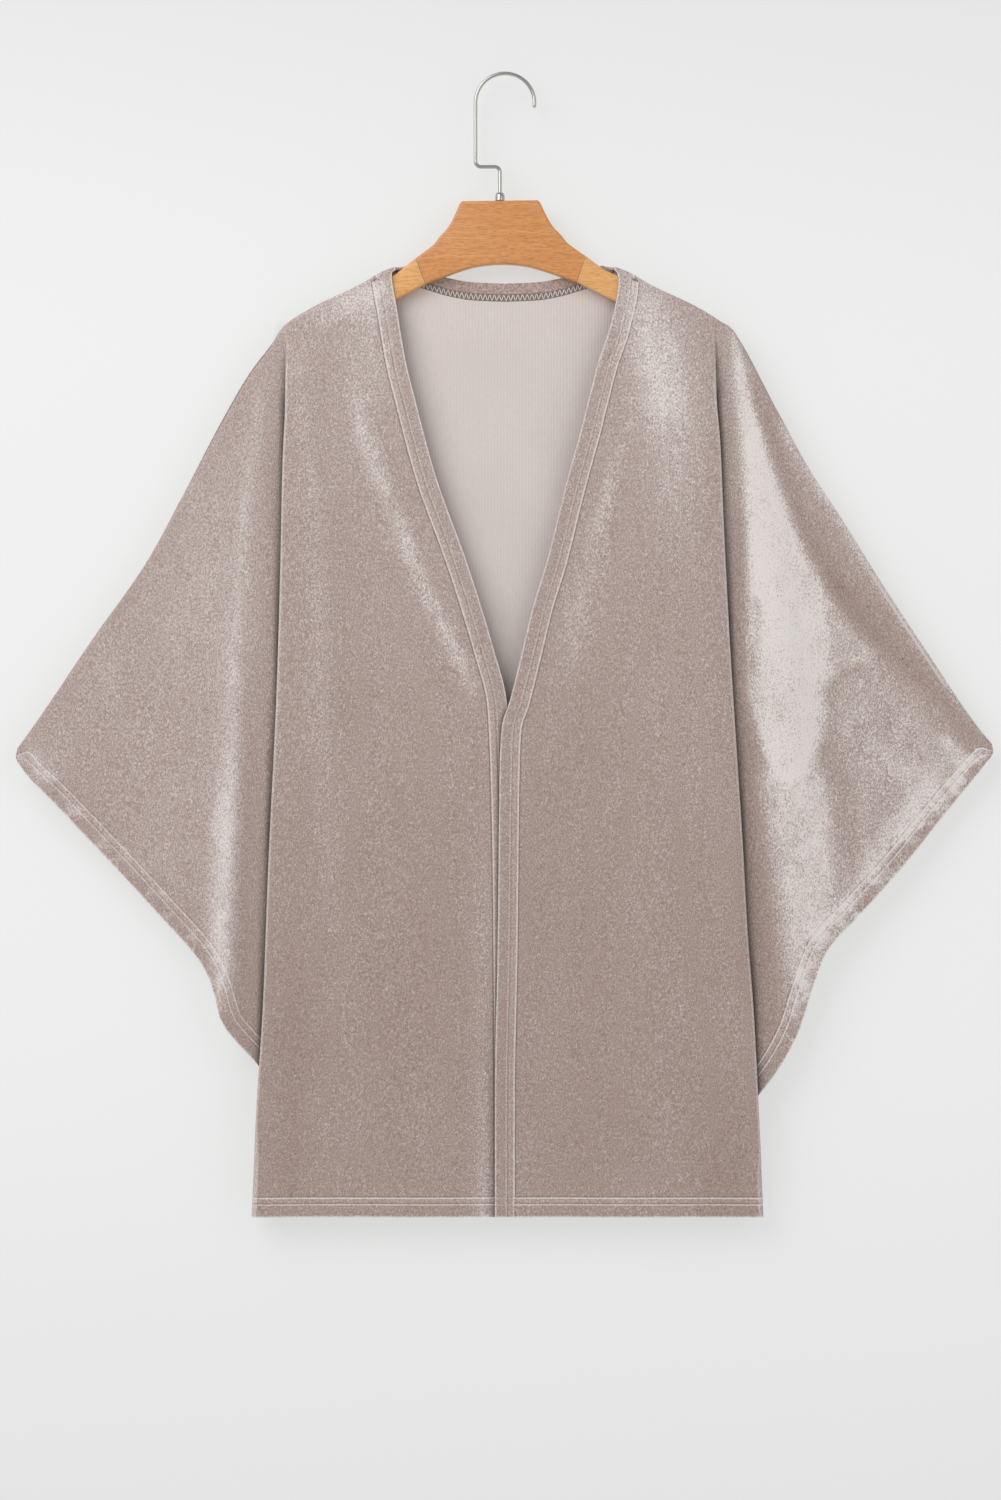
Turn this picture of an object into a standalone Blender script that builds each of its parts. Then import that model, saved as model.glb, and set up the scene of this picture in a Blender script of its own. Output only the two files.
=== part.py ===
"""An open-front velvet kimono coat hanging on a wooden hanger.

The origin is the inside top of the hanger's hook, where a rail would carry it.
+X is the wearer's left, -Y the front and +Z up. Every length is in metres.

Each cloth piece is laid out as columns that run from its top seam or edge down to
its hem, and rows that run across them. The columns give the outer face of the cloth,
and a Solidify modifier gives the wall, thicker where a hem is turned to the inside.
"""

import math
from collections import namedtuple

import bmesh
import bpy
from mathutils import Matrix, Vector

# Cloth
CLOTH_THICKNESS = 0.0014
HEM_THICKNESS = 0.0026
SEAM_GAP = 0.0003
HEM_WIDTH = 0.0178
NECK_HEM_WIDTH = 0.0160
HEM_STEP = 0.0030

# Where the cloth lies over the hanger, measured from the middle plane to its outer face
SHOULDER_HALF_DEPTH = 0.0089
SLEEVE_HALF_DEPTH = 0.0064
CENTRE_HALF_DEPTH = 0.0104
HEM_HALF_DEPTH = 0.0120
FLAT_SIDE_FROM = 0.90
EDGE_ROUNDING = 0.0040
EDGE_FLAT = 0.0010
CENTRE_DEPTH_FROM_SHARE = 0.20
SIDE_ROUNDING_POWER = 2.4
SLEEVE_DEPTH_FROM_SHARE = 0.55

# The drape fold between body and sleeve: two opposite bends and the cloth between them
OUTER_BEND_RADIUS = 0.0026
INNER_BEND_RADIUS = 0.0010
SIDE_BEND_RADIUS = 0.0055
BEND_SEGMENTS = 3
FOLD_START_ANGLE = math.radians(22)
FOLD_CLOSED_SHARE = 0.10
TUCK_GROWS_FROM_SHARE = 0.06
TUCK_AT_TOP = 0.0012
TUCK_AT_UNDERARM = 0.0180
HEM_RISE_PER_FOLD = 0.97
SLEEVE_TIP_ROUNDING = 0.0028
SLEEVE_TIP_POWER = 8
SLEEVE_EVEN_FROM_SHARE = 0.40

# The left front lies over the right front below the V
OVERLAP_FORWARD = 0.0020
OVERLAP_BACKWARD = 0.0013
OVERLAP_HALF_WIDTH = 0.012
OVERLAP_FADE = 0.050
OVERLAP_TOP = -0.500
OVERLAP_FULL = -0.575

HEM_LEVEL = -1.0835
SHOULDER_END = 0.2140
BODY_WAVE_HEIGHT = 0.0013
BODY_WAVE_LENGTH = 0.190
BODY_WAVE_PHASE = 0.9
BODY_WAVE_TOP = -0.35
BODY_WAVE_FULL = -1.05
SLEEVE_FOLD_START = 0.05
SLEEVE_FOLD_FULL = 0.45

# Shares of a column's length at which its rows lie, from the shoulder to the underarm,
# with the hem's own rows left to each column, and then from the underarm to the hem
HANG_SHARES = (0.02, 0.045, 0.07, 0.10, 0.16, 0.26, 0.38, 0.50, 0.62, 0.74, 0.86)
BODY_HEM_SHARES = (0.945, 0.975, 1.0)
LOWER_SHARES = (0.15, 0.32, 0.50, 0.66)
SIDE_OPEN_SHARE = 0.50
BODY_SHARES = (0.12, 0.25, 0.40, 0.55, 0.70, 0.82, 0.92, 1.0)
SLEEVE_SHARES = (0.09, 0.19, 0.30, 0.42, 0.55, 0.68, 0.81, 0.92, 1.0)
SIDE_ROLL_SEGMENTS = 2

# On short columns the top roll, the turned hem and the step beside it are held to these shares
MOST_ROLL_SHARE = 0.15
MOST_HEM_SHARE = 0.30
MOST_STEP_SHARE = 0.08
# A share past every row, for the columns that end without a turned hem
NO_HEM = 2.0
# The front edge leans, so a level run from it is this much longer than a square one
FRONT_EDGE_LEAN = 1.04

ROLL_ROWS = 4
UNDERARM_ROW = ROLL_ROWS - 1 + len(HANG_SHARES) + len(BODY_HEM_SHARES)
HEM_ROW = UNDERARM_ROW + len(LOWER_SHARES) + 3

Point = namedtuple("Point", "out z")
SleeveFold = namedtuple("SleeveFold", "bearing_degrees height spread_degrees")
Knot = namedtuple("Knot", "place hemmed")
Side = namedtuple("Side", "name sign silhouette fold_line front_edge sleeve_hem underarm folds")

# The top outline from the neck to the shoulder's end, the same on both sides
SHOULDER = (
    Point(0.0925, -0.1798),
    Point(0.1040, -0.1825),
    Point(0.1165, -0.1872),
    Point(0.1370, -0.1990),
    Point(0.1545, -0.2075),
    Point(0.1740, -0.2165),
    Point(0.1940, -0.2275),
    Point(0.2050, -0.2348),
)

# The back neck's edge, from the middle to where it climbs over the hanger
BACK_NECK = (
    Point(0.0000, -0.1971),
    Point(0.0300, -0.1958),
    Point(0.0520, -0.1922),
    Point(0.0740, -0.1858),
    Point(0.0925, -0.1798),
)
NECK_CORNER = 0.1040
NECK_CLIMB_COLUMNS = 2
NECK_CORNER_SETBACK = 0.0004
NECK_HALF_DEPTH = 0.0094
NECK_CLIMB_POWER = 2.5
NECK_SPREAD_SHARE = 0.10

LEFT = Side(
    name="left",
    sign=1,
    silhouette=SHOULDER + (
        Point(0.2147, -0.2404),
        Point(0.2266, -0.2578),
        Point(0.2479, -0.2983),
        Point(0.2860, -0.3696),
        Point(0.3211, -0.4237),
        Point(0.3572, -0.4817),
        Point(0.4009, -0.5482),
        Point(0.4494, -0.6198),
        Point(0.4620, -0.6350),
    ),
    fold_line=(
        Point(0.1990, -0.2330),
        Point(0.2000, -0.3017),
        Point(0.2071, -0.4275),
        Point(0.2147, -0.5695),
        Point(0.2249, -0.7268),
        Point(0.2355, -0.8900),
        Point(0.2413, -1.0040),
        Point(0.2451, -1.0840),
    ),
    front_edge=(
        Point(0.1040, -0.1825),
        Point(0.1077, -0.1957),
        Point(0.0998, -0.2385),
        Point(0.0808, -0.3020),
        Point(0.0589, -0.3848),
        Point(0.0399, -0.4608),
        Point(0.0181, -0.5396),
        Point(0.0038, -0.5966),
        Point(-0.0029, -0.6175),
        Point(-0.0048, -0.6498),
        Point(-0.0070, -0.8300),
        Point(-0.0095, -0.9738),
        Point(-0.0095, -1.0840),
    ),
    sleeve_hem=(
        Point(0.4570, -0.6520),
        Point(0.4517, -0.6593),
        Point(0.4152, -0.7054),
        Point(0.3753, -0.7562),
        Point(0.3378, -0.7988),
        Point(0.3084, -0.8323),
        Point(0.2936, -0.8693),
        Point(0.2805, -0.9082),
        Point(0.2568, -0.9492),
        Point(0.2404, -0.9690),
        Point(0.2200, -0.9950),
    ),
    underarm=-1.0150,
    folds=(
        SleeveFold(bearing_degrees=9.0, height=0.0035, spread_degrees=4.0),
        SleeveFold(bearing_degrees=26.0, height=-0.0035, spread_degrees=5.0),
    ),
)

RIGHT = Side(
    name="right",
    sign=-1,
    silhouette=SHOULDER + (
        Point(0.2132, -0.2427),
        Point(0.2190, -0.2515),
        Point(0.2433, -0.2840),
        Point(0.2717, -0.3331),
        Point(0.3022, -0.3920),
        Point(0.3392, -0.4608),
        Point(0.3924, -0.5368),
        Point(0.4437, -0.6128),
        Point(0.4625, -0.6390),
    ),
    fold_line=(
        Point(0.2075, -0.2370),
        Point(0.2081, -0.3107),
        Point(0.2106, -0.3686),
        Point(0.2166, -0.5938),
        Point(0.2242, -0.7529),
        Point(0.2290, -0.8797),
        Point(0.2354, -0.9820),
        Point(0.2402, -1.0840),
    ),
    front_edge=(
        Point(0.1040, -0.1825),
        Point(0.1074, -0.1900),
        Point(0.1026, -0.2223),
        Point(0.0840, -0.3135),
        Point(0.0646, -0.3848),
        Point(0.0370, -0.4608),
        Point(0.0124, -0.5396),
        Point(-0.0019, -0.5976),
        Point(-0.0046, -0.6500),
        Point(-0.0070, -0.7500),
        Point(-0.0095, -1.0840),
    ),
    sleeve_hem=(
        Point(0.4590, -0.6566),
        Point(0.4541, -0.6641),
        Point(0.4304, -0.6888),
        Point(0.3952, -0.7268),
        Point(0.3601, -0.7648),
        Point(0.3259, -0.8028),
        Point(0.2938, -0.8395),
        Point(0.2839, -0.8569),
        Point(0.2796, -0.8690),
        Point(0.2709, -0.8985),
        Point(0.2557, -0.9181),
        Point(0.2340, -0.9410),
        Point(0.2150, -0.9675),
    ),
    underarm=-0.9880,
    folds=(
        SleeveFold(bearing_degrees=4.5, height=0.0035, spread_degrees=2.5),
        SleeveFold(bearing_degrees=20.0, height=-0.0025, spread_degrees=7.0),
    ),
)

# The hanger, in its own frame: `out` from the stem's line, before it is tilted
HANGER_CENTRE_X = -0.0048
HANGER_TILT = math.radians(0.73)
HANGER_TOP = -0.1197
HANGER_HALF_DEPTH = 0.0057
HANGER_BEVEL = 0.0024
GLUE_GAP = 0.0003
STRAIGHT_CORNER_SINE = 0.02
ARM_TOP = (
    Point(0.0808, -0.1733),
    Point(0.0930, -0.1827),
    Point(0.1017, -0.1885),
    Point(0.1170, -0.1935),
    Point(0.1330, -0.2000),
    Point(0.1500, -0.2079),
    Point(0.1700, -0.2170),
    Point(0.1890, -0.2271),
    Point(0.2015, -0.2358),
    Point(0.2068, -0.2425),
)
ARM_BOTTOM = (
    Point(0.0717, -0.1978),
    Point(0.0980, -0.2115),
    Point(0.1080, -0.2165),
    Point(0.1500, -0.2370),
    Point(0.1900, -0.2560),
    Point(0.2000, -0.2585),
    Point(0.2062, -0.2530),
)
CENTRE_TOP = (
    Point(0.0360, -0.1197),
    Point(0.0385, -0.1226),
    Point(0.0418, -0.1300),
    Point(0.0456, -0.1378),
    Point(0.0504, -0.1454),
    Point(0.0575, -0.1530),
    Point(0.0636, -0.1606),
    Point(0.0732, -0.1680),
    Point(0.0808, -0.1733),
)
CENTRE_BOTTOM = (
    Point(0.0717, -0.1978),
    Point(0.0500, -0.1900),
    Point(0.0300, -0.1835),
    Point(0.0150, -0.1808),
)
CENTRE_BOTTOM_MIDDLE = -0.1800

# The hook: a bent wire that turns in a collar on top of the hanger
WIRE_RADIUS = 0.00175
HOOK_RADIUS = 0.0280
HOOK_END_ANGLE = math.radians(-6)
HOOK_SIDE_BOTTOM = -0.0870
HOOK_CORNER_RADIUS = 0.0050
BEND_STEPS = 4
HOOK_STEPS = 18
COLLAR_RADIUS = 0.0044
COLLAR_SHOULDER_RADIUS = 0.0032
COLLAR_HEIGHT = 0.0076
COLLAR_SHOULDER = 0.0056
FIT_GAP = 0.0003
COLLAR_SIDES = 24


def interpolated(rows, key, value, at):
    """Read one named column of a table against another, smoothly between its rows."""
    ordered = sorted(rows, key=lambda row: getattr(row, key))
    keys = [getattr(row, key) for row in ordered]
    values = [getattr(row, value) for row in ordered]
    at = min(max(at, keys[0]), keys[-1])
    cell = 0
    while cell < len(keys) - 2 and at > keys[cell + 1]:
        cell += 1
    slopes = [(values[i + 1] - values[i]) / (keys[i + 1] - keys[i]) for i in range(len(keys) - 1)]

    def tangent(i):
        """Harmonic mean of the slopes on both sides, so that the curve never overshoots."""
        if i == 0:
            return slopes[0]
        if i == len(slopes):
            return slopes[-1]
        before, after = slopes[i - 1], slopes[i]
        return 0.0 if before * after <= 0 else 2 * before * after / (before + after)

    width = keys[cell + 1] - keys[cell]
    t = (at - keys[cell]) / width
    rise = t * t * (3 - 2 * t)
    return (
        values[cell] * (1 - rise)
        + values[cell + 1] * rise
        + tangent(cell) * width * t * (1 - t) * (1 - t)
        - tangent(cell + 1) * width * t * t * (1 - t)
    )


def blend(start, end, share):
    """A value `share` of the way from start to end."""
    return start + (end - start) * share


def eased(share):
    """Rise smoothly from 0 to 1."""
    share = min(max(share, 0.0), 1.0)
    return share * share * (3 - 2 * share)


def silhouette_z(side, out):
    return interpolated(side.silhouette, "out", "z", out)


def fold_line_out(side, z):
    return interpolated(side.fold_line, "z", "out", z)


def front_edge_out(side, z):
    return interpolated(side.front_edge, "z", "out", z)


def sleeve_hem_z(side, out):
    return interpolated(side.sleeve_hem, "out", "z", out)


def slant(curve, side, out):
    """How much longer a vertical run is than the same run square to a slanted edge."""
    reach = SEAM_GAP
    slope = (curve(side, out + reach) - curve(side, out - reach)) / (2 * reach)
    return math.hypot(1.0, slope)


def roll(half_depth, drop):
    """Depth and fall of the rows that carry the cloth over its top edge."""
    rounding = min(EDGE_ROUNDING, half_depth - EDGE_FLAT)
    flat = half_depth - rounding
    diagonal = math.sin(math.radians(45))
    return (
        (SEAM_GAP / 2, 0.0),
        (flat, 0.0),
        (flat + rounding * diagonal, drop * (1 - diagonal)),
        (half_depth, drop),
    )


def fold_turn(share):
    """The angle that the drape fold turns through, `share` of the way to the underarm."""
    return blend(FOLD_START_ANGLE, math.pi, eased(share / FOLD_CLOSED_SHARE))


def fold_tuck(share):
    """The cloth between the fold's two bends, which grows once the fold has closed."""
    grown = max(0.0, (share - TUCK_GROWS_FROM_SHARE) / (1 - TUCK_GROWS_FROM_SHARE))
    return blend(TUCK_AT_TOP, TUCK_AT_UNDERARM, grown)


def fold_profile(turn, tuck, radius=OUTER_BEND_RADIUS):
    """Outward and backward offsets along the drape fold, and the cloth length to each."""
    points = []
    for step in range(1, BEND_SEGMENTS + 1):
        angle = turn * step / BEND_SEGMENTS
        points.append((
            radius * math.sin(angle),
            radius * (1 - math.cos(angle)),
            radius * angle,
        ))
    out, back, length = points[-1]
    out += tuck * math.cos(turn)
    back += tuck * math.sin(turn)
    length += tuck
    points.append((out, back, length))
    for step in range(1, BEND_SEGMENTS + 1):
        angle = turn * (1 - step / BEND_SEGMENTS)
        points.append((
            out + INNER_BEND_RADIUS * (math.sin(turn) - math.sin(angle)),
            back + INNER_BEND_RADIUS * (math.cos(angle) - math.cos(turn)),
            length + INNER_BEND_RADIUS * (turn - angle),
        ))
    return points


def fold_start_out(side, z, turn, radius=OUTER_BEND_RADIUS):
    """Where the body's flat cloth ends and the fold begins to turn."""
    reach = radius * math.sin(min(turn, math.pi / 2))
    return fold_line_out(side, z) - reach


def side_bend_radius(lower):
    """Radius of the body's side bend, which widens from the underarm to the hem."""
    return blend(OUTER_BEND_RADIUS, SIDE_BEND_RADIUS, eased(lower / SIDE_OPEN_SHARE))


def hidden_hem_z(side, index):
    """The sleeve hem's height where it runs up behind the drape fold."""
    profile = fold_profile(math.pi, TUCK_AT_UNDERARM)
    return side.underarm + HEM_RISE_PER_FOLD * (profile[index][2] - profile[BEND_SEGMENTS - 1][2])


def fold_half_depth(share):
    """Half depth of the body at the fold, with the sleeve's cloth between front and back."""
    return SHOULDER_HALF_DEPTH + fold_profile(fold_turn(share), fold_tuck(share))[-1][1]


def body_half_depth(across, share, lower):
    """Half depth of the body `across` it, down to the underarm and `lower` past it."""
    centre = blend(SHOULDER_HALF_DEPTH, CENTRE_HALF_DEPTH, eased(share / CENTRE_DEPTH_FROM_SHARE))
    side_depth = blend(fold_half_depth(share), HEM_HALF_DEPTH, lower)
    return blend(centre, side_depth, min(1.0, across / FLAT_SIDE_FROM) ** SIDE_ROUNDING_POWER)


def body_wave(x, z):
    """The body's soft waves, which grow towards its hem."""
    grown = eased((BODY_WAVE_TOP - z) / (BODY_WAVE_TOP - BODY_WAVE_FULL))
    return BODY_WAVE_HEIGHT * grown * math.sin(2 * math.pi * x / BODY_WAVE_LENGTH + BODY_WAVE_PHASE)


def sleeve_wave(side, out, z):
    """The sleeve's folds, which run down from the end of the shoulder."""
    reach = out - SHOULDER_END
    fall = silhouette_z(side, SHOULDER_END) - z
    distance = math.hypot(reach, fall)
    bearing = math.degrees(math.atan2(reach, max(fall, SEAM_GAP)))
    grown = eased((distance - SLEEVE_FOLD_START) / (SLEEVE_FOLD_FULL - SLEEVE_FOLD_START))
    total = 0.0
    for fold in side.folds:
        turned = (bearing - fold.bearing_degrees) / fold.spread_degrees
        total += fold.height * math.exp(-turned * turned)
    return total * grown


def cloth_place(side, out, half_depth, z, facing):
    """A point on the outer face; `facing` is -1 for the front and 1 for the back."""
    x = side.sign * out
    wave = body_wave(x, z) - sleeve_wave(side, out, z)
    return Vector((x, facing * half_depth + wave, z))


def rows_down(side, top_out, half_depth, top_rise, bottom_z, hem_rise, place_at, evenness=0.0):
    """The rows of one column from its top edge to the underarm row.

    place_at(share, z) gives the outward place and half depth of a hanging row, and
    hem_rise is the upright size of the turned hem, or None where body rows are used.
    evenness spreads the rows near the top, from as listed (0) to equal steps (1).
    """
    top = silhouette_z(side, top_out)
    length = top - bottom_z
    drop = min(EDGE_ROUNDING * top_rise, MOST_ROLL_SHARE * length)
    rows = []
    for depth, fall in roll(half_depth, drop):
        rows.append((top_out, depth, top - fall, False))
    hang_top = top - drop
    if hem_rise is None:
        shares = HANG_SHARES + BODY_HEM_SHARES
        hem_from = NO_HEM
    else:
        line = 1 - min(hem_rise, MOST_HEM_SHARE * length) / (hang_top - bottom_z)
        step = min(HEM_STEP * hem_rise / HEM_WIDTH, MOST_STEP_SHARE * length) / (hang_top - bottom_z)
        last = min(HANG_SHARES[-1], line - 2 * step)
        count = len(HANG_SHARES)
        shares = tuple(
            last * blend(share / HANG_SHARES[-1], (index + 2) / (count + 1), evenness)
            for index, share in enumerate(HANG_SHARES)
        )
        shares += (line - step, line, 1.0)
        hem_from = line
    for share in shares:
        z = blend(hang_top, bottom_z, share)
        out, depth = place_at(share, z)
        rows.append((out, depth, z, share >= hem_from))
    return rows


class Column:
    """One run of knots down a cloth piece, kept by row."""

    def __init__(self):
        self.knots = {}

    def add(self, row, place, hemmed):
        self.knots[row] = Knot(place, hemmed)


def column_from_rows(side, rows, facing):
    """A column with one knot for each row of its top part."""
    column = Column()
    for row, (out, depth, z, hemmed) in enumerate(rows):
        column.add(row, cloth_place(side, out, depth, z, facing), hemmed)
    return column


def hem_shares(length):
    """Rows below the underarm: even ones, and three for the turned hem."""
    line = 1 - HEM_WIDTH / length
    return LOWER_SHARES + (line - HEM_STEP / length, line, 1.0)


def add_lower_rows(column, side, place_at, facing, from_z):
    """Carry a column on from the underarm row to the bottom hem."""
    length = from_z - HEM_LEVEL
    line = 1 - HEM_WIDTH / length
    for step, share in enumerate(hem_shares(length)):
        z = blend(from_z, HEM_LEVEL, share)
        out, depth = place_at(share, z)
        column.add(UNDERARM_ROW + 1 + step, cloth_place(side, out, depth, z, facing), share >= line)


def overlap_shift(side, x, z):
    """Forward shift of the left front and backward shift of the right where they overlap."""
    near = 1 - eased((abs(x) - OVERLAP_HALF_WIDTH) / OVERLAP_FADE)
    low = eased((OVERLAP_TOP - z) / (OVERLAP_TOP - OVERLAP_FULL))
    shift = OVERLAP_FORWARD if side.sign > 0 else -OVERLAP_BACKWARD
    return shift * near * low


def front_body_columns(side):
    """The front's body, from its hemmed front edge to the start of the drape fold."""
    corner = side.fold_line[0]
    fold_top = fold_start_out(side, corner.z, FOLD_START_ANGLE)
    edge_top = side.front_edge[0].out
    width = fold_top - edge_top
    hem_share = HEM_WIDTH / width
    columns = []
    for share_top in (0.0, hem_share, hem_share + HEM_STEP / width) + BODY_SHARES[1:]:
        top_out = blend(edge_top, fold_top, share_top)
        columns.append(front_body_column(side, share_top, top_out, columns))
    return columns


def front_body_column(side, share_top, top_out, before):
    """One column of the front's body."""
    place_in_hem = len(before)

    def across_at(z, turn, radius):
        """Hold the hem's columns at their true distance from the edge lower down."""
        start = front_edge_out(side, z)
        end = fold_start_out(side, z, turn, radius)
        if place_in_hem == 0:
            across = 0.0
        elif place_in_hem <= 2:
            from_edge = (HEM_WIDTH + (place_in_hem - 1) * HEM_STEP) * FRONT_EDGE_LEAN
            across = from_edge / (end - start)
        else:
            across = share_top
        return across, blend(start, end, across)

    def place_at(share, z):
        across, out = across_at(z, fold_turn(share), OUTER_BEND_RADIUS)
        depth = body_half_depth(across, share, 0.0) + overlap_shift(side, side.sign * out, z)
        return out, depth

    def lower_place_at(share, z):
        across, out = across_at(z, math.pi, side_bend_radius(share))
        depth = body_half_depth(across, 1.0, share) + overlap_shift(side, side.sign * out, z)
        return out, depth

    rows = rows_down(side, top_out, SHOULDER_HALF_DEPTH, 1.0, side.underarm, None, place_at)
    column = column_from_rows(side, rows, -1)
    add_lower_rows(column, side, lower_place_at, -1, side.underarm)
    if place_in_hem <= 1:
        for row, knot in column.knots.items():
            column.knots[row] = Knot(knot.place, True)
    return column


def fold_columns(side, facing):
    """The drape fold's columns, and those of the body's side below the underarm."""
    corner = side.fold_line[0]
    start_top = fold_start_out(side, corner.z, FOLD_START_ANGLE)
    columns = []
    for index in range(2 * BEND_SEGMENTS + 1):
        top_out = start_top + fold_profile(FOLD_START_ANGLE, TUCK_AT_TOP)[index][2]
        bottom_z = side.underarm
        hem_rise = None
        if index >= BEND_SEGMENTS:
            bottom_z = hidden_hem_z(side, index)
            hem_rise = HEM_WIDTH * math.hypot(1.0, HEM_RISE_PER_FOLD)

        def place_at(share, z, index=index):
            turn, tuck = fold_turn(share), fold_tuck(share)
            out, back, _ = fold_profile(turn, tuck)[index]
            return fold_start_out(side, z, turn) + out, fold_half_depth(share) - back

        rows = rows_down(side, top_out, SHOULDER_HALF_DEPTH, 1.0, bottom_z, hem_rise, place_at)
        columns.append(column_from_rows(side, rows, facing))
    return columns


def add_side_roll(side, bend, facing):
    """Below the underarm the bend opens to a right angle, and the wall runs to the side seam."""
    rolls = [Column() for _ in range(SIDE_ROLL_SEGMENTS)]
    length = side.underarm - HEM_LEVEL
    line = 1 - HEM_WIDTH / length
    for step, share in enumerate((0.0,) + hem_shares(length)):
        z = blend(side.underarm, HEM_LEVEL, share)
        turn = blend(math.pi, math.pi / 2, eased(share / SIDE_OPEN_SHARE))
        depth = blend(fold_half_depth(1.0), HEM_HALF_DEPTH, share)
        radius = side_bend_radius(share)
        start = fold_start_out(side, z, turn, radius)
        profile = fold_profile(turn, TUCK_AT_UNDERARM, radius)
        row = UNDERARM_ROW + step
        hemmed = share >= line
        if step:
            for index, column in enumerate(bend):
                out, back, _ = profile[index]
                column.add(row, cloth_place(side, start + out, depth - back, z, facing), hemmed)
        out, back, _ = profile[BEND_SEGMENTS - 1]
        for index, column in enumerate(rolls, 1):
            half_depth = blend(depth - back, SEAM_GAP / 2, index / SIDE_ROLL_SEGMENTS)
            column.add(row, cloth_place(side, start + out, half_depth, z, facing), hemmed)
    return rolls


def sleeve_half_depth(across):
    """Half depth of the sleeve, `across` it from the drape fold to its tip."""
    return blend(SHOULDER_HALF_DEPTH, SLEEVE_HALF_DEPTH, eased(across / SLEEVE_DEPTH_FROM_SHARE))


def sleeve_columns(side, facing):
    """The sleeve, from the drape fold out to its tip."""
    corner = side.fold_line[0]
    top_start = fold_start_out(side, corner.z, FOLD_START_ANGLE)
    top_start += fold_profile(FOLD_START_ANGLE, TUCK_AT_TOP)[-1][2]
    bottom_z = hidden_hem_z(side, -1)
    bottom_start = fold_start_out(side, bottom_z, math.pi)
    bottom_start += fold_profile(math.pi, TUCK_AT_UNDERARM)[-1][0]
    tip_top = side.silhouette[-1].out
    tip_bottom = side.sleeve_hem[0].out
    columns = []
    for across in SLEEVE_SHARES:
        top_out = blend(top_start, tip_top, across)
        bottom_out = blend(bottom_start, tip_bottom, across)
        hem_z = sleeve_hem_z(side, bottom_out)
        near = (1 - across) ** 2

        def place_at(share, z, across=across, top_out=top_out, bottom_out=bottom_out, near=near):
            turn, tuck = fold_turn(share), fold_tuck(share)
            fold_end = fold_start_out(side, z, turn) + fold_profile(turn, tuck)[-1][0]
            straight = blend(top_start, bottom_start, share)
            out = blend(top_out, bottom_out, share) + (fold_end - straight) * near
            out += SLEEVE_TIP_ROUNDING * math.sin(math.pi * share) * across ** SLEEVE_TIP_POWER
            return out, sleeve_half_depth(across)

        rows = rows_down(
            side,
            top_out,
            sleeve_half_depth(across),
            slant(silhouette_z, side, top_out),
            hem_z,
            HEM_WIDTH * slant(sleeve_hem_z, side, bottom_out),
            place_at,
            eased(across / SLEEVE_EVEN_FROM_SHARE),
        )
        columns.append(column_from_rows(side, rows, facing))
    return columns


def back_body_columns(side):
    """Half of the back's body: the neck's columns, then the shoulder's."""
    corner = side.fold_line[0]
    fold_top = fold_start_out(side, corner.z, FOLD_START_ANGLE)
    columns = []
    for point in BACK_NECK:
        columns.append(back_neck_column(side, point, fold_top))
    width = fold_top - NECK_CORNER
    hem_share = HEM_WIDTH / width
    shoulder = []
    for share_top in (0.0, hem_share, hem_share + HEM_STEP / width) + BODY_SHARES[1:]:
        top_out = blend(NECK_CORNER, fold_top, share_top)
        shoulder.append(back_shoulder_column(side, top_out, fold_top, share_top == 0.0))
    columns += climb_columns(columns[-1], shoulder[0])
    return columns + shoulder


def climb_columns(neck, corner):
    """Columns that carry the neck's edge from behind the hanger up to the neck corner."""
    columns = []
    for step in range(1, NECK_CLIMB_COLUMNS + 1):
        share = step / (NECK_CLIMB_COLUMNS + 1)
        column = Column()
        for row, knot in neck.knots.items():
            end = corner.knots[row].place
            place = knot.place.lerp(end, share)
            place.y = blend(knot.place.y, end.y, share ** NECK_CLIMB_POWER)
            column.add(row, place, knot.hemmed)
        columns.append(column)
    return columns


def back_underarm(side, across):
    """Height of the underarm row, shared by both sides at the middle of the back."""
    return blend((LEFT.underarm + RIGHT.underarm) / 2, side.underarm, across)


def back_places(side, across):
    """Places of a back column above and below the underarm row."""

    def place_at(share, z):
        out = across * fold_start_out(side, z, fold_turn(share))
        return out, body_half_depth(across, share, 0.0)

    def lower_place_at(share, z):
        start = fold_start_out(side, z, math.pi, side_bend_radius(share))
        return across * start, body_half_depth(across, 1.0, share)

    return place_at, lower_place_at


def back_neck_column(side, point, fold_top):
    """A column under the back neck's turned edge, which hangs behind the hanger."""
    across = point.out / fold_top
    place_at, lower_place_at = back_places(side, across)
    bottom = back_underarm(side, across)
    column = Column()
    steps = (0.0, NECK_HEM_WIDTH / 2, NECK_HEM_WIDTH, NECK_HEM_WIDTH + HEM_STEP)
    for row, fall in enumerate(steps):
        place = cloth_place(side, point.out, NECK_HALF_DEPTH, point.z - fall, 1)
        column.add(row, place, fall <= NECK_HEM_WIDTH)
    top = point.z - steps[-1]
    for row, share in enumerate(HANG_SHARES + BODY_HEM_SHARES, ROLL_ROWS):
        z = blend(top, bottom, share)
        out, depth = place_at(share, z)
        out = blend(point.out, out, eased(share / NECK_SPREAD_SHARE))
        column.add(row, cloth_place(side, out, depth, z, 1), False)
    add_lower_rows(column, side, lower_place_at, 1, bottom)
    return column


def back_shoulder_column(side, top_out, fold_top, at_neck):
    """A column under the shoulder seam."""
    across = top_out / fold_top
    place_at, lower_place_at = back_places(side, across)
    bottom = back_underarm(side, across)
    rows = rows_down(side, top_out, SHOULDER_HALF_DEPTH, 1.0, bottom, None, place_at)
    column = column_from_rows(side, rows, 1)
    add_lower_rows(column, side, lower_place_at, 1, bottom)
    if at_neck:
        for row in range(ROLL_ROWS):
            column.knots[row] = Knot(column.knots[row].place, True)
        column.knots[0].place.y += NECK_CORNER_SETBACK
    return column


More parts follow.
